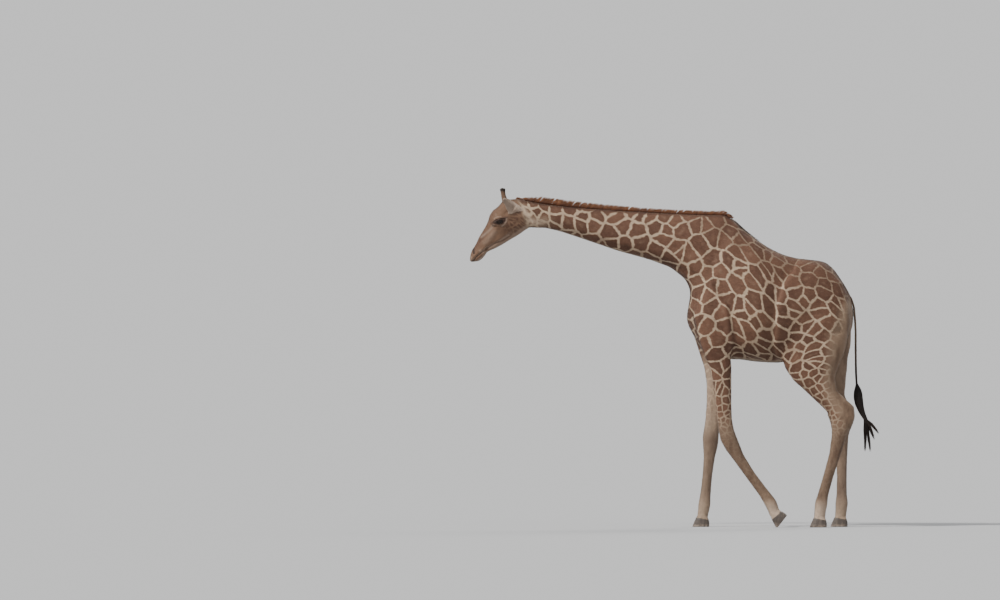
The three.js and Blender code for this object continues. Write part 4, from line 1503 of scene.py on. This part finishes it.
class Strands:
    """Many closed, tapering hairs in one mesh, all copies of one three-sided spike."""

    def __init__(self, stations: int, taper: float = 0.75, flat: float = 0.4) -> None:
        """Models the spike: a closed triangle, drawn out ring by ring to a point.

        Args:
            stations: How many places along it its curve gives, both ends among them.
            taper: How fast it narrows: 1 is a straight cone and less is fuller.
            flat: Its thickness as a share of its width.
        """
        shape = bmesh.new()
        bmesh.ops.create_circle(shape, cap_ends=True, segments=3, radius=1)
        ring = list(shape.faces)
        for station in range(1, stations):
            made = bmesh.ops.extrude_face_region(shape, geom=ring)["geom"]
            ring = [item for item in made if isinstance(item, bmesh.types.BMFace)]
            bmesh.ops.translate(shape, verts=list({v for f in ring for v in f.verts}), vec=(0, 0, 1))
            caps = [face for face in shape.faces if self.inner(face, station - 1)]
            bmesh.ops.delete(shape, geom=caps, context="FACES_ONLY")
        top = [v for v in shape.verts if round(v.co.z) == stations - 1]
        bmesh.ops.pointmerge(shape, verts=top, merge_co=(0, 0, stations - 1))
        if not any(all(round(v.co.z) == 0 for v in face.verts) for face in shape.faces):
            bmesh.ops.contextual_create(shape, geom=[v for v in shape.verts if round(v.co.z) == 0])
        bmesh.ops.triangulate(shape, faces=shape.faces)
        bmesh.ops.recalc_face_normals(shape, faces=shape.faces)
        corners = np.array([vertex.co for vertex in shape.verts])
        self.station = np.round(corners[:, 2]).astype(int)
        self.share = self.station / (stations - 1)
        full = np.where(self.share < 1, (1 - self.share) ** taper, 0)
        self.across = corners[:, 0] * full
        self.deep = corners[:, 1] * full * flat
        self.faces = np.array([[vertex.index for vertex in face.verts] for face in shape.faces])
        shape.free()

    @staticmethod
    def inner(face: bmesh.types.BMFace, station: int) -> bool:
        """True for a cap left inside the spike."""
        return station > 0 and all(round(vertex.co.z) == station for vertex in face.verts)

    def build(
        self, name: str, finish: Material, curves: Array, across: Array, width: Array, roots: Roots,
        shade: Array, facing: Array | None = None, tips: Roots | None = None,
    ) -> Piece:
        """Bends a copy of the spike along each curve.

        Args:
            name: The piece's name.
            finish: Its material.
            curves: Each strand's places from root to tip.
            across: The direction of its width.
            width: Its half width at its root.
            roots: What the coat is like at its root.
            shade: Its own shade and its clump's, from 0 to 1.
            facing: The normal that it is shaded by, in a dense coat.
            tips: What the coat is like below its tip.

        Returns:
            The piece.
        """
        count, corners = len(curves), len(self.share)
        outward = unit(np.cross(unit(np.gradient(curves, axis=1)), across[:, None, :]))
        points = curves[:, self.station] + across[:, None, :] * (self.across[:, None] * width[:, None, None])
        points += outward[:, self.station] * (self.deep[:, None] * width[:, None, None])
        faces = (self.faces[None] + (np.arange(count) * corners)[:, None, None]).reshape(-1, 3)
        mesh = bpy.data.meshes.new(name)
        mesh.vertices.add(count * corners)
        mesh.vertices.foreach_set("co", points.astype(np.float32).ravel())
        mesh.loops.add(faces.size)
        mesh.loops.foreach_set("vertex_index", faces.astype(np.int32).ravel())
        mesh.polygons.add(len(faces))
        mesh.polygons.foreach_set("loop_start", np.arange(0, faces.size, 3, dtype=np.int32))
        mesh.update(calc_edges=True)
        mesh.shade_smooth()
        for key in ("hide", "tone", "mark"):
            here, there = (getattr(ends, key)[:, None] for ends in (roots, tips or roots))
            add_attribute(mesh, key, (here + (there - here) * self.share[:, None]).reshape(-1, 3))
        strand = np.empty((count, corners, 3))
        strand[:, :, 0] = self.share
        strand[:, :, 1:] = shade[:, None, :]
        add_attribute(mesh, "strand", strand.reshape(-1, 3))
        self.lay_out(mesh, faces, roots)
        if facing is not None:
            mesh.normals_split_custom_set_from_vertices(np.repeat(facing, corners, axis=0).tolist())
        mesh.materials.append(finish)
        return placed(name, mesh)

    def lay_out(self, mesh: Mesh, faces: Array, roots: Roots) -> None:
        """Gives each strand a small patch of the bake map, at its root's place on the skin's unwrap."""
        patch = 0.003
        low, high = roots.chart.min(0), roots.chart.max(0)
        chart = (roots.chart - low) / (high - low)
        local = np.column_stack([self.share, 0.5 + 0.5 * self.across]) * patch
        spread = (chart[:, None, :] * (1 - patch) + local[None]).reshape(-1, 2)
        layer = mesh.uv_layers.new(name=BAKE_MAP, do_init=False)
        layer.uv.foreach_set("vector", spread[faces.ravel()].astype(np.float32).ravel())


@dataclass
class Roots:
    """Places where hair grows: on the skin, on the hide, and on the unwrap."""

    place: Array
    normal: Array
    lie: Array
    hide: Array
    tone: Array
    mark: Array
    chart: Array


class Follicles:
    """Picks places for hair on the finished skin."""

    def __init__(self, skin: Skin) -> None:
        """Reads what hair takes from the skin."""
        mesh = skin.mesh
        mesh.calc_loop_triangles()
        self.skin = skin
        self.triangles = read(mesh.loop_triangles, "vertices", 3, np.int32)
        self.area = read(mesh.loop_triangles, "area", 1)[:, 0]
        vectors = {name: read(mesh.attributes[name].data, "vector", 3) for name in ("hide", "tone", "mark")}
        own = {"place": places(mesh), "normal": normals(mesh), "lie": skin.lie, "chart": skin.chart}
        self.fields = {**own, **vectors}
        self.surface = BVHTree.FromPolygons(own["place"].tolist(), self.triangles.tolist())
        self.tree = KDTree(len(own["place"]))
        for index, place in enumerate(own["place"].tolist()):
            self.tree.insert(place, index)
        self.tree.balance()

    def pick(self, weight: Array, count: int, seed: int) -> Roots:
        """Picks places at random.

        Args:
            weight: How thickly hair grows at each vertex.
            count: How many places.
            seed: What the random numbers start from.

        Returns:
            The roots.
        """
        random = np.random.default_rng(seed)
        chance = self.area * weight[self.triangles].mean(1)
        chosen = random.choice(len(chance), count, p=chance / chance.sum())
        shares = random.random((count, 2))
        flip = shares.sum(1) > 1
        shares[flip] = 1 - shares[flip]
        values = self.within(self.triangles[chosen], np.column_stack([1 - shares.sum(1), shares]))
        return Roots(**{**values, "normal": unit(values["normal"])})

    def within(self, corners: Array, shares: Array) -> dict[str, Array]:
        """The skin's fields inside some triangles, by each corner's share."""
        return {name: (column[corners] * shares[:, :, None]).sum(1) for name, column in self.fields.items()}

    def nearest(self, points: Array) -> Roots:
        """The roots at the nearest vertices."""
        index = np.array([self.tree.find(point)[1] for point in points.tolist()])
        return Roots(**{name: column[index] for name, column in self.fields.items()})

    def settled(self, points: Array) -> Roots:
        """The roots on the skin right below some points."""
        found = [self.surface.find_nearest(point) for point in points.tolist()]
        corners = self.triangles[[hit[2] for hit in found]]
        below, outward = (np.array([hit[i] for hit in found]) for i in (0, 1))
        first, second, third = (self.fields["place"][corners[:, i]] for i in range(3))
        whole = np.linalg.norm(np.cross(second - first, third - first), axis=1)
        shares = np.empty((len(points), 3))
        shares[:, 0] = np.linalg.norm(np.cross(second - below, third - below), axis=1) / whole
        shares[:, 1] = np.linalg.norm(np.cross(third - below, first - below), axis=1) / whole
        shares[:, 2] = 1 - shares[:, 0] - shares[:, 1]
        return Roots(**{**self.within(corners, shares), "place": below, "normal": outward})


@dataclass(frozen=True)
class Region:
    """One piece of the coat: where it grows, and how many tufts of what size it has."""

    name: str
    weight: Array
    count: int
    length: float
    half_width: float
    rise: float


@dataclass
class Coat:
    """The short coat's tufts, in one piece for each region."""

    follicles: Follicles
    finish: Material
    box: Array
    seed: int = 11
    stray: float = 0.13
    tilt: float = 0.17
    blended: float = 0.75

    def regions(self) -> list[Region]:
        """The body's regions."""
        skin = self.follicles.skin
        on = {node: skin.on(node) * 1.0 for node in (*TRUNK, "tail")}
        bare = 1 - 0.85 * self.follicles.fields["mark"][:, 0]
        socket = skin.eye_place(self.follicles.fields["place"])[2] < 1.3
        head = skin.on("head", "lower_jaw") * bare * ~socket
        fore, hind = ((np.char.find(skin.owner, end) > 0) * 1.0 for end in ("_fore_", "_hind_"))
        x, y, z = self.follicles.fields["place"].T
        low = ramp(0.5, 0.3, z)
        crest = ramp(0.016, 0.004, np.abs(y)) * ramp(0.72, 0.5, x) * (x > 0.48) * (z > 2.4)
        return [
            Region("coat_head", head, 40000, 0.0085, 0.001, 0.0011),
            Region("coat_ears", skin.on(*EARS) * 1.0, 22000, 0.013, 0.0007, 0.001),
            Region("coat_neck", skin.on(*NECK) * 1.0, 45000, 0.02, 0.0021, 0.003),
            Region("coat_shoulders", on["shoulders"], 46000, 0.023, 0.0026, 0.0032),
            Region("coat_withers", crest, 500, 0.05, 0.0034, 0.015),
            Region("coat_barrel", on["barrel"], 40000, 0.023, 0.0025, 0.0032),
            Region("coat_hindquarters", on["hindquarters"], 45000, 0.022, 0.0025, 0.0032),
            Region("coat_forelegs", fore * (1 + low), 42000, 0.013, 0.0014, 0.0019),
            Region("coat_hind_legs", hind * (1 + low), 48000, 0.015, 0.0017, 0.0022),
            Region("coat_tail", on["tail"], 7000, 0.018, 0.0012, 0.0022),
        ]

    def build(self) -> list[Piece]:
        """Makes every region's piece."""
        spike = Strands(2, 0.8, 0.35)
        pieces = []
        for number, region in enumerate(self.regions()):
            count = region.count
            random = np.random.default_rng(self.seed + number)
            roots = self.follicles.pick(region.weight, count, self.seed * 100 + number)
            along = roots.lie + random.normal(0, self.stray, (count, 3))
            along = unit(along - roots.normal * (along * roots.normal).sum(1, keepdims=True))
            reach = region.length * random.uniform(0.65, 1.25, (count, 1))
            tips = self.follicles.settled(roots.place + along * reach)
            tip = tips.place + tips.normal * region.rise * random.uniform(0.35, 1.05, (count, 1))
            curves = np.stack([roots.place - roots.normal * 0.001, np.clip(tip, *self.box)], 1)
            apart = np.linalg.norm((tips.hide - roots.hide)[:, :2], axis=1, keepdims=True) > 0.6
            tips.hide = np.where(apart, roots.hide, roots.hide + (tips.hide - roots.hide) * self.blended)
            shade = random.random((count, 2))
            wide = region.half_width * random.uniform(0.7, 1.3, count)
            across = unit(np.cross(along, roots.normal))
            facing = unit(roots.normal + random.normal(0, self.tilt, (count, 3)))
            parts = (curves, across, wide, roots, shade, facing, tips)
            pieces.append(spike.build(region.name, self.finish, *parts))
        return pieces


@dataclass
class Mane:
    """The stiff mane: locks that stand on the crest, lean back and end along the solids' top edge."""

    solids: Solids
    follicles: Follicles
    finish: Material
    locks: int = 12000
    half_width: float = 0.0017
    lean: float = 0.75
    clump_size: tuple[float, float] = (0.01, 0.026)
    half_base: float = 0.0125
    seed: int = 5

    nodes = ["mane_upper", "mane_middle", "mane_lower"]

    def outline(self) -> Array:
        """Rows of x, the top edge's height and the lower edge's."""
        low = min(box(node)[0, 0] for node in self.nodes) + 0.004
        high = max(box(node)[1, 0] for node in self.nodes) - 0.004
        cuts = self.solids.cuts(self.nodes, 0, np.linspace(low, high, 140))
        return np.array([(x, b[2], a[2]) for x, a, b in cuts])

    def build(self) -> Piece:
        """Makes the mane."""
        random = np.random.default_rng(self.seed)
        rows = self.outline()
        low, high = rows[0, 0], rows[-1, 0]
        edges = low + np.cumsum(random.uniform(*self.clump_size, int((high - low) / self.clump_size[0])))
        habit = random.random((len(edges) + 1, 2))
        root_x = random.uniform(low + 0.008, high - 0.02, self.locks)
        clump = np.searchsorted(edges, root_x + random.normal(0, 0.002, self.locks)).clip(1, len(edges) - 1)
        tall, slant = habit[clump].T
        gather = (edges[clump] + edges[clump - 1]) / 2
        side = random.uniform(-1, 1, self.locks)
        top, base = at_rows(rows, root_x, 1, 2)
        height = top - base + 0.006
        held = np.where(random.random(self.locks) < 0.65, 0.7, 0.1)
        outer = np.abs(root_x - gather) / (edges[clump] - edges[clump - 1]).clip(0.004)
        reach = height * (0.84 + 0.2 * tall) * random.uniform(0.8, 1.02, self.locks)
        reach *= 1 - 0.55 * outer.clip(0, 0.6) * (held > 0.5)
        leaning = self.lean * reach * (0.6 + 0.5 * slant + random.uniform(0, 0.35, self.locks))
        start = np.column_stack([root_x, side * self.half_base, base - 0.004])
        shares = np.array([0, 0.55, 1.0])[None]
        x = root_x[:, None] + leaning[:, None] * shares**1.2 + ((gather - root_x) * held)[:, None] * shares**2
        x = np.clip(x, low + 0.002, high - 0.002)
        roof = at_rows(rows, x, 1)[0] - 0.002
        z = np.minimum(start[:, 2:] + reach[:, None] * shares, roof)
        y = start[:, 1:2] * (1 - 0.65 * shares) + random.normal(0, 0.0012, (self.locks, 1)) * shares
        curves = np.stack([x, y, z], 2)
        roots = self.follicles.nearest(start)
        roots.chart = start[:, :2]
        across = np.tile((1.0, 0.0, 0.0), (self.locks, 1))
        shade = np.column_stack([random.random(self.locks), tall])
        width = self.half_width * random.uniform(0.5, 1.15, self.locks)
        return Strands(3, 0.55, 0.6).build("mane", self.finish, curves, across, width, roots, shade)


@dataclass
class TailBrush:
    """The tail's long black hair: a full brush that runs out into four locks."""

    solids: Solids
    follicles: Follicles
    finish: Material
    strands: int = 2600
    stations: int = 11
    loose: int = 5
    long_share: float = 0.62
    part_height: float = 0.5
    seed: int = 8
    tips: tuple[Colour, ...] = (
        (0.449, 0.006, -0.014), (0.659, 0.002, 0.012), (0.803, 0.19, -0.02), (0.985, 0.279, 0.018),
    )

    def strand(
        self, random: np.random.Generator, levels: Array, middle: Array, half: Array, turn: float
    ) -> Array:
        """One hair's places from root to tip.

        Args:
            random: The source of chance.
            levels: From 0, the brush's top, to 1, where it parts into locks.
            middle: The brush's middle at each level.
            half: Its half widths at each level.
            turn: The side of the brush on which the hair lies.

        Returns:
            One point in each row.
        """
        low, high = box("tail_tuft")
        first = random.uniform(0, 0.35)
        deep = math.sqrt(random.random()) * 0.9
        long = random.random() < self.long_share
        stop = 1.0 if long else random.uniform(0.55, 1.0)
        shares = np.linspace(first, stop, self.stations - self.loose if long else self.stations)
        place = np.stack([np.interp(shares, levels, middle[:, k]) for k in range(3)], 1)
        reach = np.stack([np.interp(shares, levels, half[:, k]) for k in range(2)], 1)
        spread = deep * np.minimum((shares - first) * 5 + 0.25, 1)
        round_it = np.array([math.cos(turn), math.sin(turn)])
        place[:, :2] += reach * spread[:, None] * round_it
        if not long:
            return place
        across, up, out = self.tips[random.integers(0, len(self.tips))]
        tip = np.array([low[0] + (high[0] - low[0]) * across, out, low[2] + (high[2] - low[2]) * up])
        tip = place[-1] + (tip - place[-1]) * random.uniform(0.66, 1.0)
        tip += random.normal(0, 0.004, 3) * (1, 1, 0)
        bend = place[-1] + (tip - place[-1]) * 0.5 + (0.016 * (across - 0.4), 0, 0.02)
        t = np.linspace(0, 1, self.loose + 1)[1:, None]
        hang = (1 - t) ** 2 * place[-1] + 2 * t * (1 - t) * bend + t**2 * tip
        hang[:, :2] += 0.0045 * np.sin(t * 6 + across * 9 + turn * 0.4) * round_it * (1 - t * 0.5)
        hang[:, 0] = np.minimum(hang[:, 0], high[0] - 0.003)
        return np.vstack([place, hang])

    def build(self) -> Piece:
        """Makes the brush."""
        random = np.random.default_rng(self.seed)
        low, high = box("tail_tuft")[:, 2]
        heights = np.linspace(high + 0.045, low + (high - low) * self.part_height, 24)
        cuts = self.solids.cuts(["tail", "tail_tuft"], 2, heights)
        middle = np.array([[(a[0] + b[0]) / 2, 0, height] for height, a, b in cuts])
        half = np.array([(b[:2] - a[:2]) / 2 for _, a, b in cuts])
        for _ in range(3):
            half[1:-1] = (half[:-2] + 2 * half[1:-1] + half[2:]) / 4
        levels = np.linspace(0, 1, len(heights))
        turn = random.uniform(0, 2 * math.pi, self.strands)
        curves = np.array([self.strand(random, levels, middle, half, side) for side in turn])
        roots = self.follicles.nearest(curves[:, 0])
        roots.chart = np.column_stack([turn, curves[:, 0, 2]])
        across = unit(np.column_stack([-np.sin(turn), np.cos(turn), np.zeros(self.strands)]))
        width = random.uniform(0.0008, 0.0018, self.strands)
        shade = random.random((self.strands, 2))
        spike = Strands(self.stations, 0.35, 0.7)
        return spike.build("tail_brush", self.finish, curves, across, width, roots, shade)


# ---- Horns, eyes and hooves ----


def dressed_copy(skin: Skin, names: list[str], name: str, cell: float, passes: int, inset: float) -> Piece:
    """A smooth copy of some solids.

    Args:
        skin: The skin, whose remeshing this shares.
        names: The nodes.
        name: The piece's name.
        cell: The size of its faces.
        passes: How often it is smoothed.
        inset: How far it stays inside the solids.

    Returns:
        The piece.
    """
    mesh = skin.remeshed(names, cell)
    mesh.name = name
    skin.relaxed(mesh, passes)
    move_to(mesh, places(mesh) - normals(mesh) * (inset + skin.overlap))
    mesh.shade_smooth()
    return placed(name, mesh)


@dataclass
class Horns:
    """The two horns: bone under short brown fur, with a ragged brush of dark hair round each top."""

    solids: Solids
    skin: Skin
    follicles: Follicles
    hide: Material
    hair: Material
    buried: float = 0.038
    topless: float = 0.022
    inset: float = 0.0035
    seed: int = 21

    nodes = ["left_ossicone", "right_ossicone"]

    def build(self) -> list[Piece]:
        """Makes the horns and their hair."""
        core = dressed_copy(self.skin, self.nodes, "horns", 0.004, 6, self.inset)
        self.fit(core.data)
        core.data.materials.append(self.hide)
        self.colour(core.data)
        return [core, self.fur("horn_fur", 7000, False), self.fur("horn_brush", 3600, True)]

    def up(self, z: Array) -> Array:
        """How far up a horn heights are, from 0 to 1."""
        low, high = box(self.nodes[1])[:, 2]
        return (z - low) / (high - low)

    def fit(self, mesh: Mesh) -> None:
        """Draws the bone's foot into the head, and its top down into the brush."""
        points = places(mesh)
        points[:, 2] -= self.topless * ramp(0.8, 1.0, self.up(points[:, 2]))
        move_to(mesh, self.rooted(points))

    def rooted(self, points: Array) -> Array:
        """Draws what lies low on a horn down, back and inwards, into the head."""
        share = ramp(0.5, 0.0, self.up(points[..., 2]))
        inward = np.stack([0.3 + 0 * share, -0.75 * np.sign(points[..., 1]), -1 + 0 * share], -1)
        return points + inward * self.buried * share[..., None]

    def colour(self, mesh: Mesh) -> None:
        """Gives the horn the face's brown, dark at its top."""
        rows = {"hide": (0.5, 0.5, 0.1), "tone": (0, 1, 0), "mark": (0, 0, 1), "strand": (0.5, 0.4, 0.5)}
        for name, row in rows.items():
            values = np.tile(row, (len(mesh.vertices), 1)).astype(float)
            if name == "mark":
                values[:, 0] = ramp(0.6, 0.75, self.up(places(mesh)[:, 2]))
            add_attribute(mesh, name, values)

    def fur(self, name: str, count: int, brush: bool) -> Piece:
        """Short fur up the sides, or the longer brush round the top."""
        random = np.random.default_rng(self.seed + brush)
        sides = np.where(random.random(count) < 0.5, -1, 1)
        low, high = box(self.nodes[1])[:, 2]
        levels = random.uniform(0.62, 0.92, count) if brush else random.uniform(0.0, 0.72, count)
        height = low + (high - low) * levels
        cuts = self.solids.cuts([self.nodes[1]], 2, np.linspace(low + 0.008, high - 0.002, 26))
        table = np.array([[z, *((a + b) / 2)[:2], (b[0] - a[0]) / 2] for z, a, b in cuts])
        turn = random.uniform(0, 2 * math.pi, count)
        ring = np.column_stack([np.cos(turn), np.sin(turn), np.zeros(count)])

        def on_side(z: Array, inset: Array | float) -> Array:
            """The points of the horn's side at these heights."""
            middle_x, middle_y, half = at_rows(table, z, 1, 2, 3)
            return np.column_stack([middle_x, middle_y, z]) + ring * (half - inset)[:, None]

        length = random.uniform(0.022, 0.04, count) if brush else random.uniform(0.009, 0.014, count)
        ragged = random.random(10)[(turn * 10 / (2 * math.pi)).astype(int)]
        tip_z = np.minimum(height + length, high - 0.0005 - 0.018 * ragged - random.uniform(0, 0.004, count))
        start = on_side(height, self.inset + 0.001)
        tip = on_side(tip_z, random.uniform(0.0004, 0.006, count) if brush else 0.0012)
        curves = np.stack([start, tip], 1)
        curves[:, :, 1] *= sides[:, None]
        curves = self.rooted(curves)
        across = unit(np.column_stack([-ring[:, 1], ring[:, 0] * sides, ring[:, 2]]))
        roots = self.follicles.nearest(curves[:, 0])
        roots.chart = np.column_stack([turn + 7 * (sides > 0), height])
        roots.tone[:] = (0, 1, 0)
        roots.mark[:] = (0, 0, 1)
        width = random.uniform(0.0009, 0.0017, count)
        finish = self.hair if brush else self.hide
        return Strands(2).build(name, finish, curves, across, width, roots, random.random((count, 2)))


@dataclass
class Eyes:
    """The two eyeballs, each with a slightly bulging cornea, and the long upper lashes."""

    skin: Skin
    follicles: Follicles
    finish: Material
    hair: Material
    bulge: float = 0.0011
    lashes: int = 110

    def ball(self) -> Piece:
        """Both eyeballs as one piece."""
        shape = bmesh.new()
        head = self.skin.head
        radius = head.eye_radius - 0.0002
        rows = []
        for side in Side:
            made = bmesh.ops.create_uvsphere(shape, u_segments=48, v_segments=32, radius=radius - self.bulge)
            for vertex in made["verts"]:
                out = vertex.co.y * side.value / radius
                rows.append((vertex.co.x / radius, vertex.co.z / radius, out))
                vertex.co *= 1 + self.bulge / radius * max(0.0, out) ** 2
            centre = (head.eye[0], abs(head.eye[1]) * side.value, head.eye[2])
            bmesh.ops.translate(shape, verts=made["verts"], vec=centre)
        mesh = written(shape, "eyes")
        add_attribute(mesh, "strand", np.array(rows))
        mesh.shade_smooth()
        mesh.materials.append(self.finish)
        return placed("eyes", mesh)

    def lash(self) -> Piece:
        """The upper lashes of both eyes."""
        random = np.random.default_rng(3)
        skin, head = self.skin, self.skin.head
        count = self.lashes * 2
        side = np.repeat([side.value for side in Side], self.lashes)
        share = random.uniform(-0.97, 0.9, count)
        back = skin.eye_half * share
        up = skin.upper_lid * np.sqrt(1 - share**2) + back * skin.eye_tilt - skin.eye_drop
        out = skin.eye_surface(back, up) + 0.0015
        start = np.column_stack([head.eye[0] + back, side * out, head.eye[2] + up])
        length = random.uniform(0.014, 0.022, count)[:, None]
        away = unit(np.column_stack([share * 0.3 - 0.15, side * 1.0, np.full(count, -0.45)]))
        sag = np.column_stack([np.zeros(count), np.zeros(count), -length[:, 0] * 0.22])
        curves = np.stack([start, start + away * length * 0.6, start + away * length + sag], 1)
        roots = self.follicles.nearest(start)
        roots.chart = np.column_stack([share + 3 * (side > 0), random.random(count)])
        across, width = np.tile((1.0, 0.0, 0.0), (count, 1)), np.full(count, 0.0006)
        shade = random.random((count, 2)) * 0.3
        return Strands(3).build("lashes", self.hair, curves, across, width, roots, shade)


@dataclass
class Hooves:
    """The eight claws, each a smooth copy of its solid with the sole left flat."""

    skin: Skin
    finish: Material
    tucked: float = 0.0035

    def build(self) -> list[Piece]:
        """Makes one piece for each foot."""
        pieces = []
        for leg in self.skin.legs:
            piece = dressed_copy(self.skin, leg.claws, f"{leg.side.word}_{leg.end}_hooves", 0.0045, 4, 0.0002)
            points = places(piece.data)
            above = (points - leg.coronet) @ leg.upward + self.skin.hem
            points -= normals(piece.data) * (self.tucked * ramp(-0.006, 0.002, above))[:, None]
            low = min(box(name)[0, 2] for name in leg.claws)
            high = max(box(name)[1, 2] for name in leg.claws)
            flat = points[:, 2] < low + 0.004
            points[flat, 2] = np.minimum(points[flat, 2], low + 0.0005)
            points[:, 2] = np.maximum(points[:, 2], low)
            move_to(piece.data, points)
            height = (points[:, 2] - low) / (high - low)
            add_attribute(piece.data, "strand", np.column_stack([height, height * 0, height * 0]))
            piece.data.materials.append(self.finish)
            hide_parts(*leg.claws)
            pieces.append(piece)
        return pieces


# ---- Studio ----


@dataclass(frozen=True)
class Lamp:
    """A distant soft light: where it shines from, in degrees round and up, its strength, size and colour."""

    name: str
    azimuth: float
    height: float
    strength: float
    size: float
    colour: Colour = (1.0, 1.0, 1.0)


@dataclass
class Studio:
    """A plain pale floor, soft lights and the camera.

    The floor is as bright as the backdrop behind it, so that no edge shows where it ends.
    """

    floor_radius: float = 600.0
    camera_place: Colour = (-1.494, -95.0, 1.787)
    camera_aim: Colour = (-1.494, 0.0, 1.941)
    lens: float = 400.0
    backdrop: float = 0.8
    lamps: tuple[Lamp, ...] = (
        Lamp("key", -50, 42, 5.2, 8, (1.0, 0.96, 0.9)),
        Lamp("fill", 35, 30, 0.3, 60),
        Lamp("back", 150, 38, 1.8, 25, (1.0, 0.95, 0.88)),
    )

    def floor_colour(self) -> tuple[float, ...]:
        """The colour that makes the lit floor as bright as the backdrop."""
        sky = math.pi * self.backdrop
        lit = [(lamp.strength * math.sin(math.radians(lamp.height)), lamp.colour) for lamp in self.lamps]
        return tuple(sky / (sky + sum(power * colour[i] for power, colour in lit)) for i in range(3))

    def floor(self) -> Piece:
        """The floor."""
        shape = bmesh.new()
        bmesh.ops.create_circle(shape, cap_ends=True, segments=96, radius=self.floor_radius)
        mesh = written(shape, "floor")
        mesh.materials.append(FloorFinish(self.floor_colour()).material())
        return placed("floor", mesh)

    def light(self, lamp: Lamp) -> None:
        """Hangs one lamp. Azimuth 0 is the camera's side and rises towards the tail."""
        data = bpy.data.lights.new(lamp.name, "SUN")
        data.energy, data.angle, data.color = lamp.strength, math.radians(lamp.size), lamp.colour
        turn, up = math.radians(lamp.azimuth), math.radians(lamp.height)
        towards = Vector((math.sin(turn) * math.cos(up), -math.cos(turn) * math.cos(up), math.sin(up)))
        placed(lamp.name, data).rotation_euler = towards.to_track_quat("Z", "Y").to_euler()

    def camera(self) -> None:
        """The camera, with a long lens far away."""
        data = bpy.data.cameras.new("camera")
        data.lens, data.sensor_width, data.clip_start, data.clip_end = self.lens, 36, 1, 3000
        piece = placed("camera", data)
        piece.location = self.camera_place
        aim = Vector(self.camera_aim) - Vector(self.camera_place)
        piece.rotation_euler = aim.to_track_quat("-Z", "Y").to_euler()
        bpy.context.scene.camera = piece

    def build(self) -> None:
        """Sets the whole studio up."""
        self.floor()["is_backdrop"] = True
        for lamp in self.lamps:
            self.light(lamp)
        world = bpy.data.worlds.new("world")
        world.use_nodes = True
        background = world.node_tree.nodes["Background"].inputs
        background["Color"].default_value = (1, 1, 1, 1)
        background["Strength"].default_value = self.backdrop
        bpy.context.scene.world = world
        self.camera()


# ---- Assembly ----


def ride(piece: Piece, slot: str) -> None:
    """Joins a finished piece to the animal and reports it."""
    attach(piece, BODY)
    LOG.info("%s: %d faces", piece.name, len(piece.data.polygons))


def corners(bounds: tuple[Vector, Vector]) -> list[list[float]]:
    """A box as plain lists of numbers."""
    return [[float(value) for value in corner] for corner in bounds]


def measured_legs(solids: Solids) -> list[Leg]:
    """The four legs, with the size of the patches down each."""
    fore = ((0.0, 0.04), (0.75, 0.044), (1.0, 0.052), (1.2, 0.068), (1.4, 0.092), (1.55, 0.11), (2.0, 0.12))
    hind = ((0.0, 0.04), (0.8, 0.046), (1.1, 0.058), (1.3, 0.075), (1.5, 0.09), (1.7, 0.1), (2.2, 0.11))
    kinds = (("fore", "forearm", fore, (1.3, 1.6), 1.4), ("hind", "thigh", hind, (1.38, 1.76), 1.66))
    legs = [Leg(side, *kind) for side in Side for kind in kinds]
    for leg in legs:
        leg.measure(solids)
    return legs


def main() -> None:
    """Builds the animal and the studio."""
    logging.basicConfig(level=logging.INFO, format="%(name)s: %(message)s")
    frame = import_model()
    solid_box = corners(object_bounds())
    solids = Solids(frame["nodes"])
    head = Head()
    legs = measured_legs(solids)
    ears = [Ear.measured(solids, side) for side in Side]
    hide = HideFinish().material()
    browns = ((0.06, 0.022, 0.012), (0.15, 0.055, 0.022), (0.28, 0.12, 0.05))
    mane_hair = HairFinish("mane_hair", *browns).material()
    blacks = ((0.01, 0.007, 0.006), (0.016, 0.01, 0.008), (0.035, 0.02, 0.014))
    black_hair = HairFinish("black_hair", *blacks).material()

    skin = Skin(solids, head, ears, legs, HideMap(solids, head, legs))
    body = skin.build()
    body.data.materials.append(hide)
    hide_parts(*skin.flesh())
    ride(body, "coat")

    follicles = Follicles(skin)
    inner_box = np.array(solid_box) + [[0.001], [-0.001]]
    for piece in Coat(follicles, hide, inner_box).build():
        ride(piece, "coat")

    mane = Mane(solids, follicles, mane_hair).build()
    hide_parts(*Mane.nodes)
    ride(mane, "mane_hair")
    brush = TailBrush(solids, follicles, black_hair).build()
    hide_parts("tail_tuft")
    ride(brush, "black_hair")

    horns = Horns(solids, skin, follicles, hide, black_hair).build()
    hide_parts(*Horns.nodes)
    for piece, slot in zip(horns, ("coat", "coat", "black_hair")):
        ride(piece, slot)
    eyes = Eyes(skin, follicles, EyeFinish().material(), black_hair)
    balls = eyes.ball()
    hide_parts("left_eye", "right_eye")
    ride(balls, "eye")
    ride(eyes.lash(), "black_hair")
    for piece in Hooves(skin, HoofFinish().material()).build():
        ride(piece, "hoof_horn")

    Studio().build()
    {"cad": solid_box, "visual": corners(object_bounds())}


if __name__ == "__main__":
    main()
